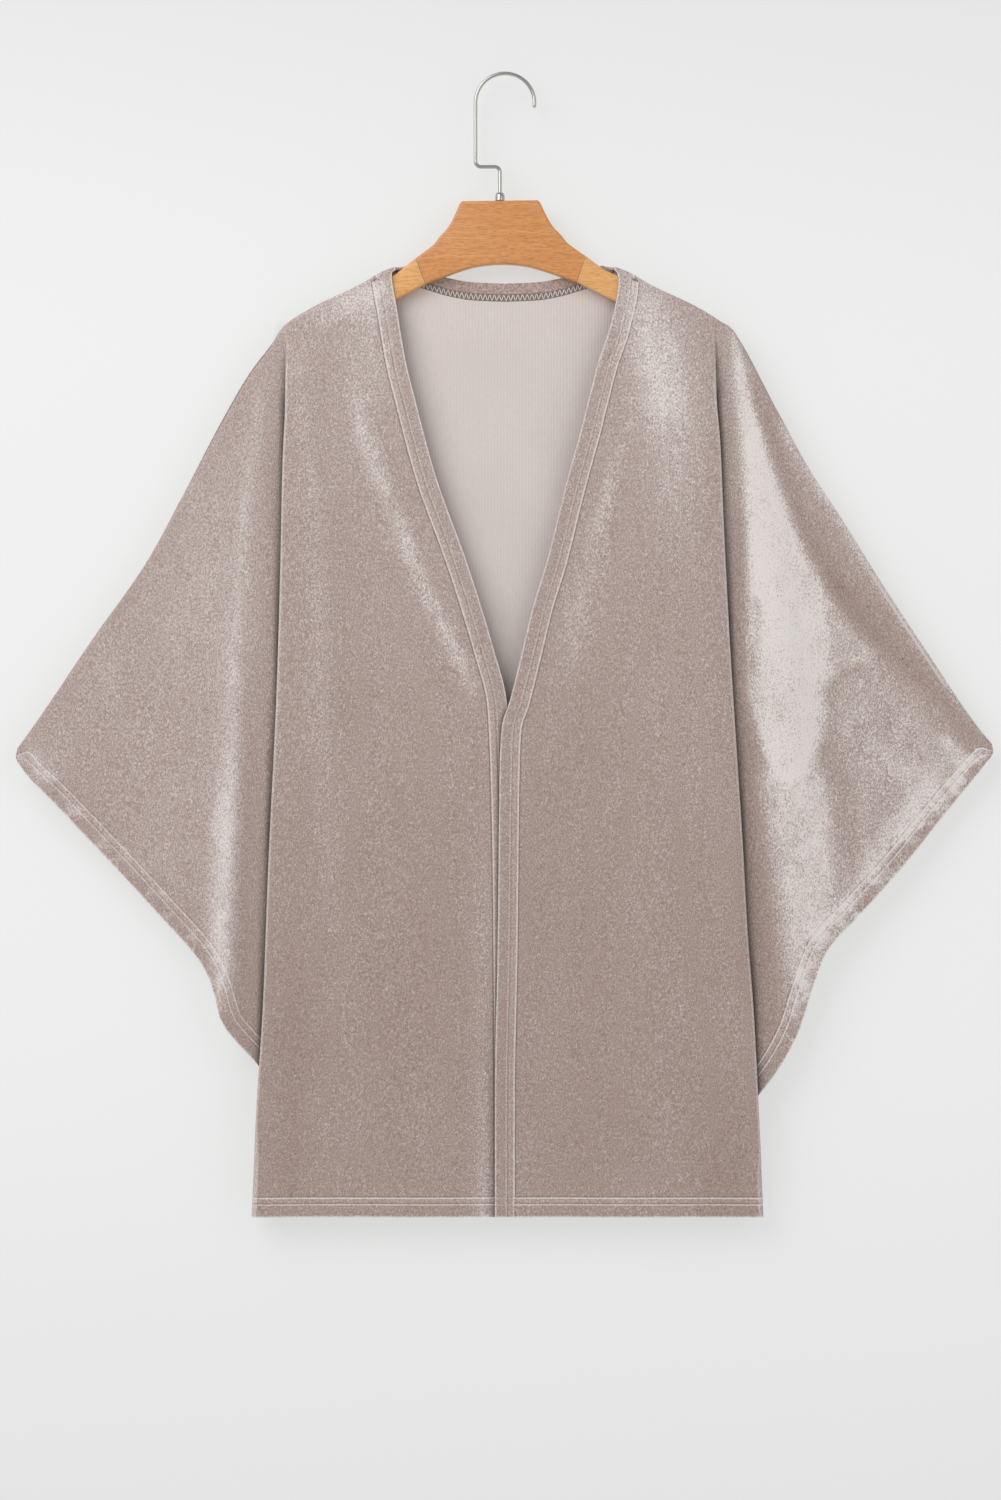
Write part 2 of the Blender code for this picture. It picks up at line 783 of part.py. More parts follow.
def cloth_object(name, strips, turned, material):
    """Make one cloth piece from strips of columns, with its wall and thicker hems."""
    mesh = bpy.data.meshes.new(name)
    sheet = bmesh.new()
    made = {}
    hem_layer = []

    def vertex(column, row):
        key = (id(column), row)
        if key not in made:
            made[key] = sheet.verts.new(column.knots[row].place)
            hem_layer.append(1.0 if column.knots[row].hemmed else 0.0)
        return made[key]

    for columns, first_row, last_row in strips:
        for left, right in zip(columns, columns[1:]):
            for row in range(first_row, last_row):
                corners = [
                    vertex(left, row),
                    vertex(right, row),
                    vertex(right, row + 1),
                    vertex(left, row + 1),
                ]
                sheet.faces.new(corners[::-1] if turned else corners)
    sheet.to_mesh(mesh)
    sheet.free()
    mesh.shade_smooth()
    piece = bpy.data.objects.new(name, mesh)
    bpy.context.collection.objects.link(piece)
    hems = piece.vertex_groups.new(name="hems")
    for index, weight in enumerate(hem_layer):
        hems.add([index], weight, "REPLACE")
    wall = piece.modifiers.new("wall", "SOLIDIFY")
    wall.thickness = HEM_THICKNESS
    wall.offset = -1.0
    wall.use_even_offset = True
    wall.vertex_group = hems.name
    wall.thickness_vertex_group = CLOTH_THICKNESS / HEM_THICKNESS
    piece.data.materials.append(material)
    return piece


def front_piece(side, material):
    """One front with its half of the sleeve, cut in one piece."""
    body = front_body_columns(side)
    fold = fold_columns(side, -1)
    bend = fold[:BEND_SEGMENTS]
    rolls = add_side_roll(side, bend, -1)
    sleeve = sleeve_columns(side, -1)
    strips = (
        (body + fold + sleeve, 0, UNDERARM_ROW),
        (body + bend + rolls, UNDERARM_ROW, HEM_ROW),
    )
    return cloth_object("front_" + side.name, strips, side.sign > 0, material)


def back_piece(material):
    """The back with the rear halves of both sleeves, cut in one piece."""
    halves = []
    for side in (LEFT, RIGHT):
        body = back_body_columns(side)
        fold = fold_columns(side, 1)
        bend = fold[:BEND_SEGMENTS]
        rolls = add_side_roll(side, bend, 1)
        halves.append((body + fold + sleeve_columns(side, 1), body + bend + rolls))
    left, right = halves
    upper = right[0][:0:-1] + left[0]
    lower = right[1][:0:-1] + left[1]
    strips = ((upper, 0, UNDERARM_ROW), (lower, UNDERARM_ROW, HEM_ROW))
    return cloth_object("back", strips, False, material)


def glue_point(point, sign):
    """Move a glue joint's corner half the joint's gap to one side."""
    return Point(point.out + sign * GLUE_GAP / 2, point.z)


def inset_outline(outline, glued_edges, distance):
    """Move an outline's edges inward, its glued edges excepted, and find the new corners."""
    count = len(outline)
    area = sum(
        outline[i - 1][0] * outline[i][1] - outline[i][0] * outline[i - 1][1] for i in range(count)
    )
    turn = 1 if area > 0 else -1
    lines = []
    for i in range(count):
        start = Vector(outline[i])
        along = (Vector(outline[(i + 1) % count]) - start).normalized()
        inward = Vector((-along.y, along.x)) * turn
        shift = 0.0 if i in glued_edges else distance
        lines.append((start + inward * shift, along, inward * shift))
    corners = []
    for i in range(count):
        before, here = lines[i - 1], lines[i]
        cross = before[1].cross(here[1])
        if abs(cross) < STRAIGHT_CORNER_SINE:
            corners.append(Vector(outline[i]) + here[2])
        else:
            reach = (here[0] - before[0]).cross(here[1]) / cross
            corners.append(before[0] + before[1] * reach)
    return corners


def wood_object(name, outline, glued_edges, material):
    """Extrude an outline to the hanger's thickness, with its long edges rounded."""
    shallow = HANGER_BEVEL * (1 - math.cos(math.radians(45)))
    edge_steps = ((HANGER_BEVEL, 0.0), (shallow, shallow), (0.0, HANGER_BEVEL))
    levels = [(inset, depth - HANGER_HALF_DEPTH) for inset, depth in edge_steps]
    levels += [(inset, HANGER_HALF_DEPTH - depth) for inset, depth in edge_steps[::-1]]
    mesh = bpy.data.meshes.new(name)
    body = bmesh.new()
    rings = []
    for inset, y in levels:
        corners = inset_outline(outline, glued_edges, inset)
        rings.append([body.verts.new((corner.x, y, corner.y)) for corner in corners])
    body.faces.new(rings[0])
    body.faces.new(rings[-1][::-1])
    count = len(outline)
    for near, far in zip(rings, rings[1:]):
        for i in range(count):
            j = (i + 1) % count
            body.faces.new((near[j], near[i], far[i], far[j]))
    bmesh.ops.recalc_face_normals(body, faces=body.faces)
    body.to_mesh(mesh)
    body.free()
    mesh.transform(Matrix.Translation((0.0, 0.0, -HANGER_TOP)))
    piece = bpy.data.objects.new(name, mesh)
    bpy.context.collection.objects.link(piece)
    piece.location = (HANGER_CENTRE_X, 0.0, HANGER_TOP)
    piece.rotation_euler = (0.0, -HANGER_TILT, 0.0)
    piece.data.materials.append(material)
    return piece


def hanger_centre(material):
    """The hanger's bow-shaped middle, between its two glue joints."""
    top = list(CENTRE_TOP[:-1]) + [glue_point(CENTRE_TOP[-1], -1)]
    bottom = [glue_point(CENTRE_BOTTOM[0], -1)] + list(CENTRE_BOTTOM[1:])
    right = [(p.out, p.z) for p in top + bottom]
    middle = [(0.0, CENTRE_BOTTOM_MIDDLE)]
    left = [(-x, z) for x, z in reversed(right)]
    outline = right + middle + left
    glued = (len(top) - 1, len(right) + 1 + len(bottom) - 1)
    return wood_object("hanger_centre", outline, glued, material)


def hanger_arm(side, material):
    """One arm, from its glue joint to its rounded end under the shoulder."""
    top = [glue_point(ARM_TOP[0], 1)] + list(ARM_TOP[1:])
    bottom = [glue_point(ARM_BOTTOM[0], 1)] + list(ARM_BOTTOM[1:])
    outline = [(side.sign * p.out, p.z) for p in top + bottom[::-1]]
    return wood_object("hanger_arm_" + side.name, outline, (len(outline) - 1,), material)


def hook_path():
    """The wire's middle line: the round hook, its straight side, the crank and the stem."""
    centre_z = WIRE_RADIUS - HOOK_RADIUS
    points = []
    for step in range(HOOK_STEPS + 1):
        angle = blend(HOOK_END_ANGLE, math.pi, step / HOOK_STEPS)
        points.append((HOOK_RADIUS * math.cos(angle), centre_z + HOOK_RADIUS * math.sin(angle)))
    corner_x = -HOOK_RADIUS + HOOK_CORNER_RADIUS
    corner_z = HOOK_SIDE_BOTTOM + HOOK_CORNER_RADIUS
    for step in range(BEND_STEPS + 1):
        angle = blend(math.pi, 1.5 * math.pi, step / BEND_STEPS)
        points.append((
            corner_x + HOOK_CORNER_RADIUS * math.cos(angle),
            corner_z + HOOK_CORNER_RADIUS * math.sin(angle),
        ))
    stem_x = HANGER_CENTRE_X - HOOK_CORNER_RADIUS
    stem_z = HOOK_SIDE_BOTTOM - HOOK_CORNER_RADIUS
    for step in range(BEND_STEPS + 1):
        angle = blend(0.5 * math.pi, 0.0, step / BEND_STEPS)
        points.append((
            stem_x + HOOK_CORNER_RADIUS * math.cos(angle),
            stem_z + HOOK_CORNER_RADIUS * math.sin(angle),
        ))
    points.append((HANGER_CENTRE_X, HANGER_TOP + FIT_GAP))
    return points


def hook(material):
    """The bent wire hook."""
    curve = bpy.data.curves.new("hook", "CURVE")
    curve.dimensions = "3D"
    curve.bevel_depth = WIRE_RADIUS
    curve.bevel_resolution = 3
    curve.use_fill_caps = True
    points = hook_path()
    line = curve.splines.new("POLY")
    line.points.add(len(points) - 1)
    for point, (x, z) in zip(line.points, points):
        point.co = (x, 0.0, z, 1.0)
    piece = bpy.data.objects.new("hook", curve)
    bpy.context.collection.objects.link(piece)
    curve.materials.append(material)
    return piece


def collar(material):
    """A turned collar round the foot of the wire."""
    bore = WIRE_RADIUS + FIT_GAP
    profile = (
        (bore, 0.0),
        (COLLAR_RADIUS, 0.0),
        (COLLAR_RADIUS, COLLAR_SHOULDER),
        (COLLAR_SHOULDER_RADIUS, COLLAR_HEIGHT),
        (bore, COLLAR_HEIGHT),
    )
    mesh = bpy.data.meshes.new("hook_collar")
    turned = bmesh.new()
    rings = []
    for side_index in range(COLLAR_SIDES):
        angle = 2 * math.pi * side_index / COLLAR_SIDES
        rings.append([
            turned.verts.new((radius * math.cos(angle), radius * math.sin(angle), height))
            for radius, height in profile
        ])
    for here, there in zip(rings, rings[1:] + rings[:1]):
        for i in range(len(profile)):
            j = (i + 1) % len(profile)
            turned.faces.new((here[i], there[i], there[j], here[j]))
    bmesh.ops.recalc_face_normals(turned, faces=turned.faces)
    turned.to_mesh(mesh)
    turned.free()
    piece = bpy.data.objects.new("hook_collar", mesh)
    bpy.context.collection.objects.link(piece)
    piece.location = (HANGER_CENTRE_X, 0.0, HANGER_TOP + FIT_GAP)
    piece.data.materials.append(material)
    return piece


def plain_material(name, colour, roughness, metallic):
    """A material of one colour."""
    material = bpy.data.materials.new(name)
    material.use_nodes = True
    shader = material.node_tree.nodes["Principled BSDF"]
    shader.inputs["Base Color"].default_value = (*colour, 1.0)
    shader.inputs["Roughness"].default_value = roughness
    shader.inputs["Metallic"].default_value = metallic
    return material


def main():
    """Clear the scene and make every piece."""
    for left_over in list(bpy.data.objects):
        bpy.data.objects.remove(left_over, do_unlink=True)
    velvet = plain_material("velvet", (0.40, 0.31, 0.28), 0.85, 0.0)
    beech = plain_material("beech", (0.66, 0.33, 0.14), 0.45, 0.0)
    beech_arm = plain_material("beech_arm", (0.74, 0.41, 0.19), 0.45, 0.0)
    metal = plain_material("plated_steel", (0.62, 0.60, 0.56), 0.25, 1.0)
    front_piece(LEFT, velvet)
    front_piece(RIGHT, velvet)
    back_piece(velvet)
    hanger_centre(beech)
    hanger_arm(LEFT, beech_arm)
    hanger_arm(RIGHT, beech_arm)
    hook(metal)
    collar(metal)


main()
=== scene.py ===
"""Finish and drape of an open-front velvet kimono coat on its wooden hanger.

The origin is the inside top of the hanger's hook. +X is the wearer's left, -Y the front
and +Z up. Lengths are in metres, but for the tables of folds and pile, which are in
millimetres. Each cloth piece is a grid of columns, which run from a seam or edge down to a
hem, and of rows across them. Solidify gives it its wall.
"""

import logging
import math
from dataclasses import dataclass, field
from enum import Enum
from typing import Callable, Optional, Sequence, Union

import bmesh
import bpy
import numpy as np
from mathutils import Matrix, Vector

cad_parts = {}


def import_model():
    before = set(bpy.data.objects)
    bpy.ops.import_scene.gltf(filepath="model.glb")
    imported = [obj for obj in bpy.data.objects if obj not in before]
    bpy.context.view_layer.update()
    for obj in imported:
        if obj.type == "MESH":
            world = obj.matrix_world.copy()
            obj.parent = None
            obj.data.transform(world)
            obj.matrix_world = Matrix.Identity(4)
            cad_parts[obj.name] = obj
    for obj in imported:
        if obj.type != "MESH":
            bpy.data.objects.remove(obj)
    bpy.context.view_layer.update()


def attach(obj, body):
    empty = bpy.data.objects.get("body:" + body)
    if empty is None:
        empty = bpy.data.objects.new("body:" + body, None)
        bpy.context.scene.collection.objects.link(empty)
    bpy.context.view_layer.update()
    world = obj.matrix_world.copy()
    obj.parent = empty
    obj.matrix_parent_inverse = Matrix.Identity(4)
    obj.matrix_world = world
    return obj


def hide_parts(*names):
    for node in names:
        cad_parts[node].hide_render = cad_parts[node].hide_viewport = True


LOG = logging.getLogger("kimono_coat")
BODY = "root"
Array = np.ndarray
Pairs = Sequence[tuple[float, float]]
Rgb = tuple[float, float, float]
Place = tuple[float, float, float]
MILLIMETRE = 0.001


def blend(start: Array, end: Array, share: Array) -> Array:
    """A value `share` of the way from start to end."""
    return start + (end - start) * share


def eased(share: Array) -> Array:
    """Rise smoothly from 0 to 1, and stay there."""
    held = np.clip(share, 0.0, 1.0)
    return held * held * (3 - 2 * held)


def linear(red: int, green: int, blue: int) -> Rgb:
    """A colour as it looks on a screen, 0 to 255, turned into light."""
    shares = [value / 255 for value in (red, green, blue)]
    return tuple(s / 12.92 if s <= 0.04045 else ((s + 0.055) / 1.055) ** 2.4 for s in shares)


def tinted(colour: Rgb, share: float) -> Rgb:
    """A colour made lighter or darker."""
    return tuple(channel * share for channel in colour)


def linked(name: str, data: bpy.types.ID) -> bpy.types.Object:
    """A new object with this data, put into the scene."""
    made = bpy.data.objects.new(name, data)
    bpy.context.collection.objects.link(made)
    return made


class Curve:
    """A smooth curve through a short table, which never overshoots its points."""

    def __init__(self, points: Pairs) -> None:
        """Sort the table by its first column.

        Args:
            points: Rows of key and value.
        """
        table = np.array(sorted(points), dtype=float)
        self.keys = table[:, 0]
        self.values = table[:, 1]
        slopes = np.diff(self.values) / np.diff(self.keys)
        product = slopes[:-1] * slopes[1:]
        total = slopes[:-1] + slopes[1:]
        bends = product > 0
        inner = np.where(bends, 2 * product / np.where(bends, total, 1.0), 0.0)
        self.tangents = np.concatenate((slopes[:1], inner, slopes[-1:]))

    def at(self, where: Array) -> Array:
        """Read the curve at one place or many."""
        held = np.clip(where, self.keys[0], self.keys[-1])
        cell = np.clip(np.searchsorted(self.keys, held, side="right") - 1, 0, len(self.keys) - 2)
        width = self.keys[cell + 1] - self.keys[cell]
        share = (held - self.keys[cell]) / width
        rise = share * share * (3 - 2 * share)
        level = blend(self.values[cell], self.values[cell + 1], rise)
        rest = 1 - share
        level = level + self.tangents[cell] * width * share * rest * rest
        return level - self.tangents[cell + 1] * width * share * share * rest

    def slant(self, where: Array, reach: float = 0.002) -> Array:
        """How much longer a run along the value's axis is than one square to the curve."""
        slope = (self.at(where + reach) - self.at(where - reach)) / (2 * reach)
        return np.hypot(1.0, slope)


HEM_SAMPLES = 260
RISE_SAMPLES = 200


@dataclass(frozen=True)
class Half:
    """The outline of one half of the coat; `out` is the distance from the middle plane."""

    name: str
    sign: int
    silhouette: Curve
    fold_line: Curve
    fold_top: float
    front_edge: Curve
    sleeve_hem: Curve
    sleeve_tip: tuple[float, float]
    underarm: float
    folds: tuple[tuple[float, float, float], ...]
    front_drop: Curve

    def hem_heights(self, out: float, distances: Array, reach: float = 0.060) -> Array:
        """How far above the sleeve's hem a column meets each line that runs beside the hem.

        Args:
            out: Where the column meets the hem.
            distances: The lines' distances from the hem, measured square to it.
            reach: The greatest height that is looked at.

        Returns:
            One height for each distance.
        """
        line_out = np.linspace(self.sleeve_hem.keys[0], self.sleeve_hem.keys[-1], HEM_SAMPLES)
        line_z = self.sleeve_hem.at(line_out)
        rises = np.linspace(0.0, reach, RISE_SAMPLES)
        heights = float(self.sleeve_hem.at(out)) + rises
        gaps = np.hypot(out - line_out[None, :], heights[:, None] - line_z[None, :]).min(axis=1)
        return np.interp(distances, np.maximum.accumulate(gaps), rises)


SHOULDER = (
    (0.0925, -0.1798), (0.1040, -0.1825), (0.1165, -0.1872), (0.1370, -0.1990), (0.1545, -0.2075),
    (0.1740, -0.2165), (0.1940, -0.2275), (0.2050, -0.2348),
)
BACK_NECK = Curve((
    (0.0000, -0.1971), (0.0300, -0.1958), (0.0520, -0.1922), (0.0740, -0.1858), (0.0925, -0.1798),
))
NECK_SIDE = 0.0925
NECK_CORNER = 0.1040
SHOULDER_END = 0.2140
HEM_LEVEL = -1.0835

# The wearer's left half, which laps over the other below the V
LEFT = Half(
    name="left",
    sign=1,
    silhouette=Curve(SHOULDER + (
        (0.2147, -0.2404), (0.2266, -0.2578), (0.2479, -0.2983), (0.2860, -0.3696), (0.3211, -0.4237),
        (0.3572, -0.4817), (0.4009, -0.5482), (0.4494, -0.6198), (0.4620, -0.6350),
    )),
    fold_line=Curve((
        (-0.2330, 0.1990), (-0.3017, 0.2000), (-0.3525, 0.2039), (-0.4275, 0.2071), (-0.5225, 0.2119),
        (-0.6508, 0.2199), (-0.7268, 0.2249), (-0.8150, 0.2298), (-0.8900, 0.2355), (-1.0040, 0.2413),
        (-1.0840, 0.2451),
    )),
    fold_top=-0.2330,
    front_edge=Curve((
        (-0.1825, 0.1040), (-0.1957, 0.1077), (-0.2385, 0.0998), (-0.2730, 0.0884), (-0.3020, 0.0808),
        (-0.3400, 0.0713), (-0.3848, 0.0589), (-0.4608, 0.0399), (-0.5045, 0.0266), (-0.5396, 0.0181),
        (-0.5966, 0.0038), (-0.6175, -0.0029), (-0.6498, -0.0048), (-0.8300, -0.0070),
        (-0.9738, -0.0095), (-1.0840, -0.0095),
    )),
    sleeve_hem=Curve((
        (0.4570, -0.6520), (0.4517, -0.6593), (0.4152, -0.7054), (0.3753, -0.7562), (0.3378, -0.7988),
        (0.3084, -0.8323), (0.2936, -0.8693), (0.2805, -0.9082), (0.2568, -0.9492), (0.2404, -0.9690),
        (0.2200, -0.9950),
    )),
    sleeve_tip=(0.4620, 0.4570),
    underarm=-1.0150,
    folds=((9.0, 0.0035, 4.0), (26.0, -0.0035, 5.0)),
    front_drop=Curve(((0.214, 0.0), (0.224, 0.0022), (0.246, 0.0024), (0.262, 0.0))),
)

# The wearer's right half, which lies under the other below the V
RIGHT = Half(
    name="right",
    sign=-1,
    silhouette=Curve(SHOULDER + (
        (0.2132, -0.2427), (0.2190, -0.2515), (0.2433, -0.2840), (0.2717, -0.3331), (0.3022, -0.3920),
        (0.3392, -0.4608), (0.3924, -0.5368), (0.4437, -0.6128), (0.4625, -0.6390),
    )),
    fold_line=Curve((
        (-0.2370, 0.2075), (-0.3107, 0.2081), (-0.3686, 0.2106), (-0.4800, 0.2130), (-0.5938, 0.2166),
        (-0.7529, 0.2242), (-0.8797, 0.2290), (-0.9820, 0.2354), (-1.0840, 0.2402),
    )),
    fold_top=-0.2370,
    front_edge=Curve((
        (-0.1825, 0.1040), (-0.1900, 0.1074), (-0.2223, 0.1026), (-0.2730, 0.0940), (-0.3135, 0.0840),
        (-0.3487, 0.0750), (-0.3848, 0.0646), (-0.4608, 0.0370), (-0.5045, 0.0228), (-0.5396, 0.0124),
        (-0.5976, -0.0019), (-0.6500, -0.0046), (-0.7500, -0.0070), (-1.0840, -0.0095),
    )),
    sleeve_hem=Curve((
        (0.4590, -0.6566), (0.4541, -0.6641), (0.4304, -0.6888), (0.3952, -0.7268), (0.3601, -0.7648),
        (0.3259, -0.8028), (0.2938, -0.8395), (0.2839, -0.8569), (0.2796, -0.8690), (0.2709, -0.8985),
        (0.2557, -0.9181), (0.2340, -0.9410), (0.2150, -0.9675),
    )),
    sleeve_tip=(0.4625, 0.4590),
    underarm=-0.9880,
    folds=((4.5, 0.0035, 2.5), (20.0, -0.0025, 7.0)),
    front_drop=Curve((
        (0.216, 0.0), (0.228, 0.0030), (0.270, 0.0036), (0.292, 0.0030), (0.310, 0.0),
    )),
)


class Facing(Enum):
    """Which way a cloth piece looks."""

    FRONT = -1
    BACK = 1


@dataclass(frozen=True)
class Hem:
    """A turned edge and its two lines of stitching, as distances from the edge."""

    near: float
    far: float
    step: float = 0.0030
    groove: float = 0.0008
    roll: float = 0.0010
    edge_shares: tuple[float, ...] = (0.72, 0.47, 0.24)

    def rows(self) -> Array:
        """Distances at which the hem's rows lie, from its inner side to the edge."""
        near, far, groove = self.near, self.far, self.groove
        lines = (far, far - groove, (near + far) / 2, near + groove, near, near - groove)
        edge = (near * share for share in self.edge_shares)
        return np.array((far + self.step, far + groove, *lines, *edge, self.roll, 0.0))

    def on_line(self, distance: Array) -> Array:
        """1 where a row lies on a line of stitching, and 0 elsewhere."""
        tight = self.groove / 4
        return ((abs(distance - self.near) < tight) | (abs(distance - self.far) < tight)).astype(float)


FRONT_HEM = Hem(near=0.0105, far=0.0177)
TURNED_HEM = Hem(near=0.0118, far=0.0181)
NECK_FALLS = np.array((0.0, 0.0010, 0.0030, 0.0055, 0.0080, 0.0105, 0.0140, 0.0172))
NECK_FALL_END = 0.0200
NECK_SEWING = (0.0105, 0.0172)
FAR_FROM_HEM = 0.0600


def nearest(start: Sequence[float], end: Sequence[float], x: Array, z: Array) -> tuple[Array, Array]:
    """How far along a line from start to end its nearest point lies, and how far away."""
    along_x, along_z = end[0] - start[0], end[1] - start[1]
    square = along_x * along_x + along_z * along_z
    share = np.clip(((x - start[0]) * along_x + (z - start[1]) * along_z) / square, 0.0, 1.0)
    return share, np.hypot(x - start[0] - share * along_x, z - start[1] - share * along_z)


@dataclass(frozen=True)
class Stroke:
    """A soft ridge or trough of the cloth, or a streak of painted sheen or shade on its pile, along a path,
    as rows of x, z, width and height.
    """

    rows: tuple[tuple[float, float, float, float], ...]

    def field(self, x: Array, z: Array) -> Array:
        """Height of the stroke at each place.

        Args:
            x: Places across the coat, in millimetres.
            z: Places up it, in millimetres.

        Returns:
            The height at the nearest point of the path, which fades with the distance from it.
        """
        total = np.zeros_like(x)
        for start, end in zip(self.rows, self.rows[1:]):
            share, distance = nearest(start, end, x, z)
            width = blend(start[2], end[2], share)
            height = blend(start[3], end[3], share) * np.exp(-((distance / width) ** 2))
            total = np.where(abs(height) > abs(total), height, total)
        return total


@dataclass(frozen=True)
class Patch:
    """A stretch of painted sheen or shade, where the pile lies one way, inside an outline of x and z, with
    a soft border.
    """

    outline: tuple[tuple[float, float], ...]
    height: float
    soft: float

    def field(self, x: Array, z: Array) -> Array:
        """Height of the patch at each place, which fades across its border.

        Args:
            x: Places across the coat, in millimetres.
            z: Places up it, in millimetres.

        Returns:
            The patch's height inside, half of it on the border and nothing outside.
        """
        border = np.full_like(x, np.inf)
        inside = np.zeros(x.shape, dtype=bool)
        for start, end in zip(self.outline, self.outline[1:] + self.outline[:1]):
            border = np.minimum(border, nearest(start, end, x, z)[1])
            crosses = (start[1] > z) != (end[1] > z)
            rise = end[1] - start[1] or 1.0
            inside ^= crosses & (x < start[0] + (end[0] - start[0]) * (z - start[1]) / rise)
        signed = np.where(inside, border, -border)
        return self.height * eased(0.5 + 0.5 * signed / self.soft)


Marks = Sequence[Union[Stroke, Patch]]


def field_of(marks: Marks, x: Array, z: Array) -> Array:
    """The sum of several strokes and patches at each place, which is given in metres."""
    return sum(mark.field(x / MILLIMETRE, z / MILLIMETRE) for mark in marks)


# Soft folds that stand out of the cloth's face, all in millimetres
FRONT_FOLDS = (
    Stroke(((-228, -290, 7, 0), (-247, -423, 9, 1.2), (-256, -560, 11, 2.2), (-262, -720, 12, 3),
            (-266, -850, 10, 2.4), (-262, -905, 8, 1.2))),
    Stroke(((-236, -330, 6, 0), (-240, -560, 7, -1), (-243, -760, 8, -2.2), (-245, -900, 7, -1.2))),
    Stroke(((-300, -430, 14, 0), (-330, -560, 18, -1), (-340, -680, 18, -0.8), (-345, -740, 14, 0))),
    Stroke(((-193, -260, 10, 0), (-180, -404, 14, 1), (-175, -600, 15, 1.2), (-170, -800, 14, 0.6),
            (-166, -900, 12, 0))),
    Stroke(((-160, -270, 12, 0), (-134, -350, 13, 1.2), (-100, -440, 14, 1.8), (-60, -520, 12, 1.4),
            (-30, -590, 10, 0))),
    Stroke(((-22, -700, 10, 0), (-24, -860, 11, 0.8), (-20, -1020, 11, 1.2), (-20, -1080, 10, 1))),
    Stroke(((134, -240, 16, 0), (150, -300, 20, 1), (163, -400, 22, 1.4), (166, -520, 20, 0.6),
            (168, -600, 18, 0))),
    Stroke(((232, -310, 8, 0), (246, -400, 14, 1.6), (262, -500, 20, 3), (270, -620, 20, 3.2),
            (272, -740, 17, 2.8), (278, -830, 14, 1.6), (276, -900, 10, 0.4))),
    Stroke(((240, -310, 8, 0), (262, -360, 10, -1.4), (292, -430, 12, -2.2), (322, -485, 13, -2.2),
            (350, -535, 14, -1.4), (390, -590, 14, 0))),
    Stroke(((228, -420, 6, 0), (232, -620, 8, -1.4), (240, -820, 9, -1.8), (246, -900, 8, -0.6))),
    Stroke(((320, -560, 14, 0), (330, -640, 18, -1.2), (322, -720, 16, -0.8), (315, -780, 12, 0))),
)

# The back's own folds, seen from behind, in the same frame
BACK_FOLDS = (
    Stroke(((0, -230, 20, 0), (4, -400, 30, 1.2), (0, -650, 34, 0.8), (-6, -820, 30, 0))),
    Stroke(((150, -240, 12, 0), (128, -420, 17, 1.4), (118, -620, 19, 1.6), (120, -900, 18, 1.2),
            (124, -1080, 16, 1))),
    Stroke(((-156, -245, 12, 0), (-140, -400, 15, 1.2), (-124, -600, 18, 1.8), (-118, -840, 18, 1.2),
            (-122, -1080, 16, 1.2))),
    Stroke(((62, -560, 12, 0), (60, -760, 16, -1), (56, -960, 18, -1.4), (56, -1080, 16, -1))),
    Stroke(((-66, -500, 12, 0), (-60, -700, 16, -1.2), (-58, -1000, 18, -1.2))),
    Stroke(((236, -310, 8, 0), (252, -440, 14, 1.8), (262, -600, 17, 2.8), (268, -760, 15, 2.6),
            (270, -880, 11, 1))),
    Stroke(((-232, -300, 8, 0), (-250, -430, 12, 1.6), (-260, -600, 15, 2.6), (-264, -780, 13, 2.6),
            (-262, -890, 9, 1))),
    Stroke(((256, -340, 10, 0), (300, -450, 14, -1.8), (346, -545, 15, -1.6), (380, -610, 13, 0))),
    Stroke(((-270, -360, 10, 0), (-310, -470, 14, -1.6), (-345, -560, 16, -1.6), (-372, -640, 13, 0))),
)
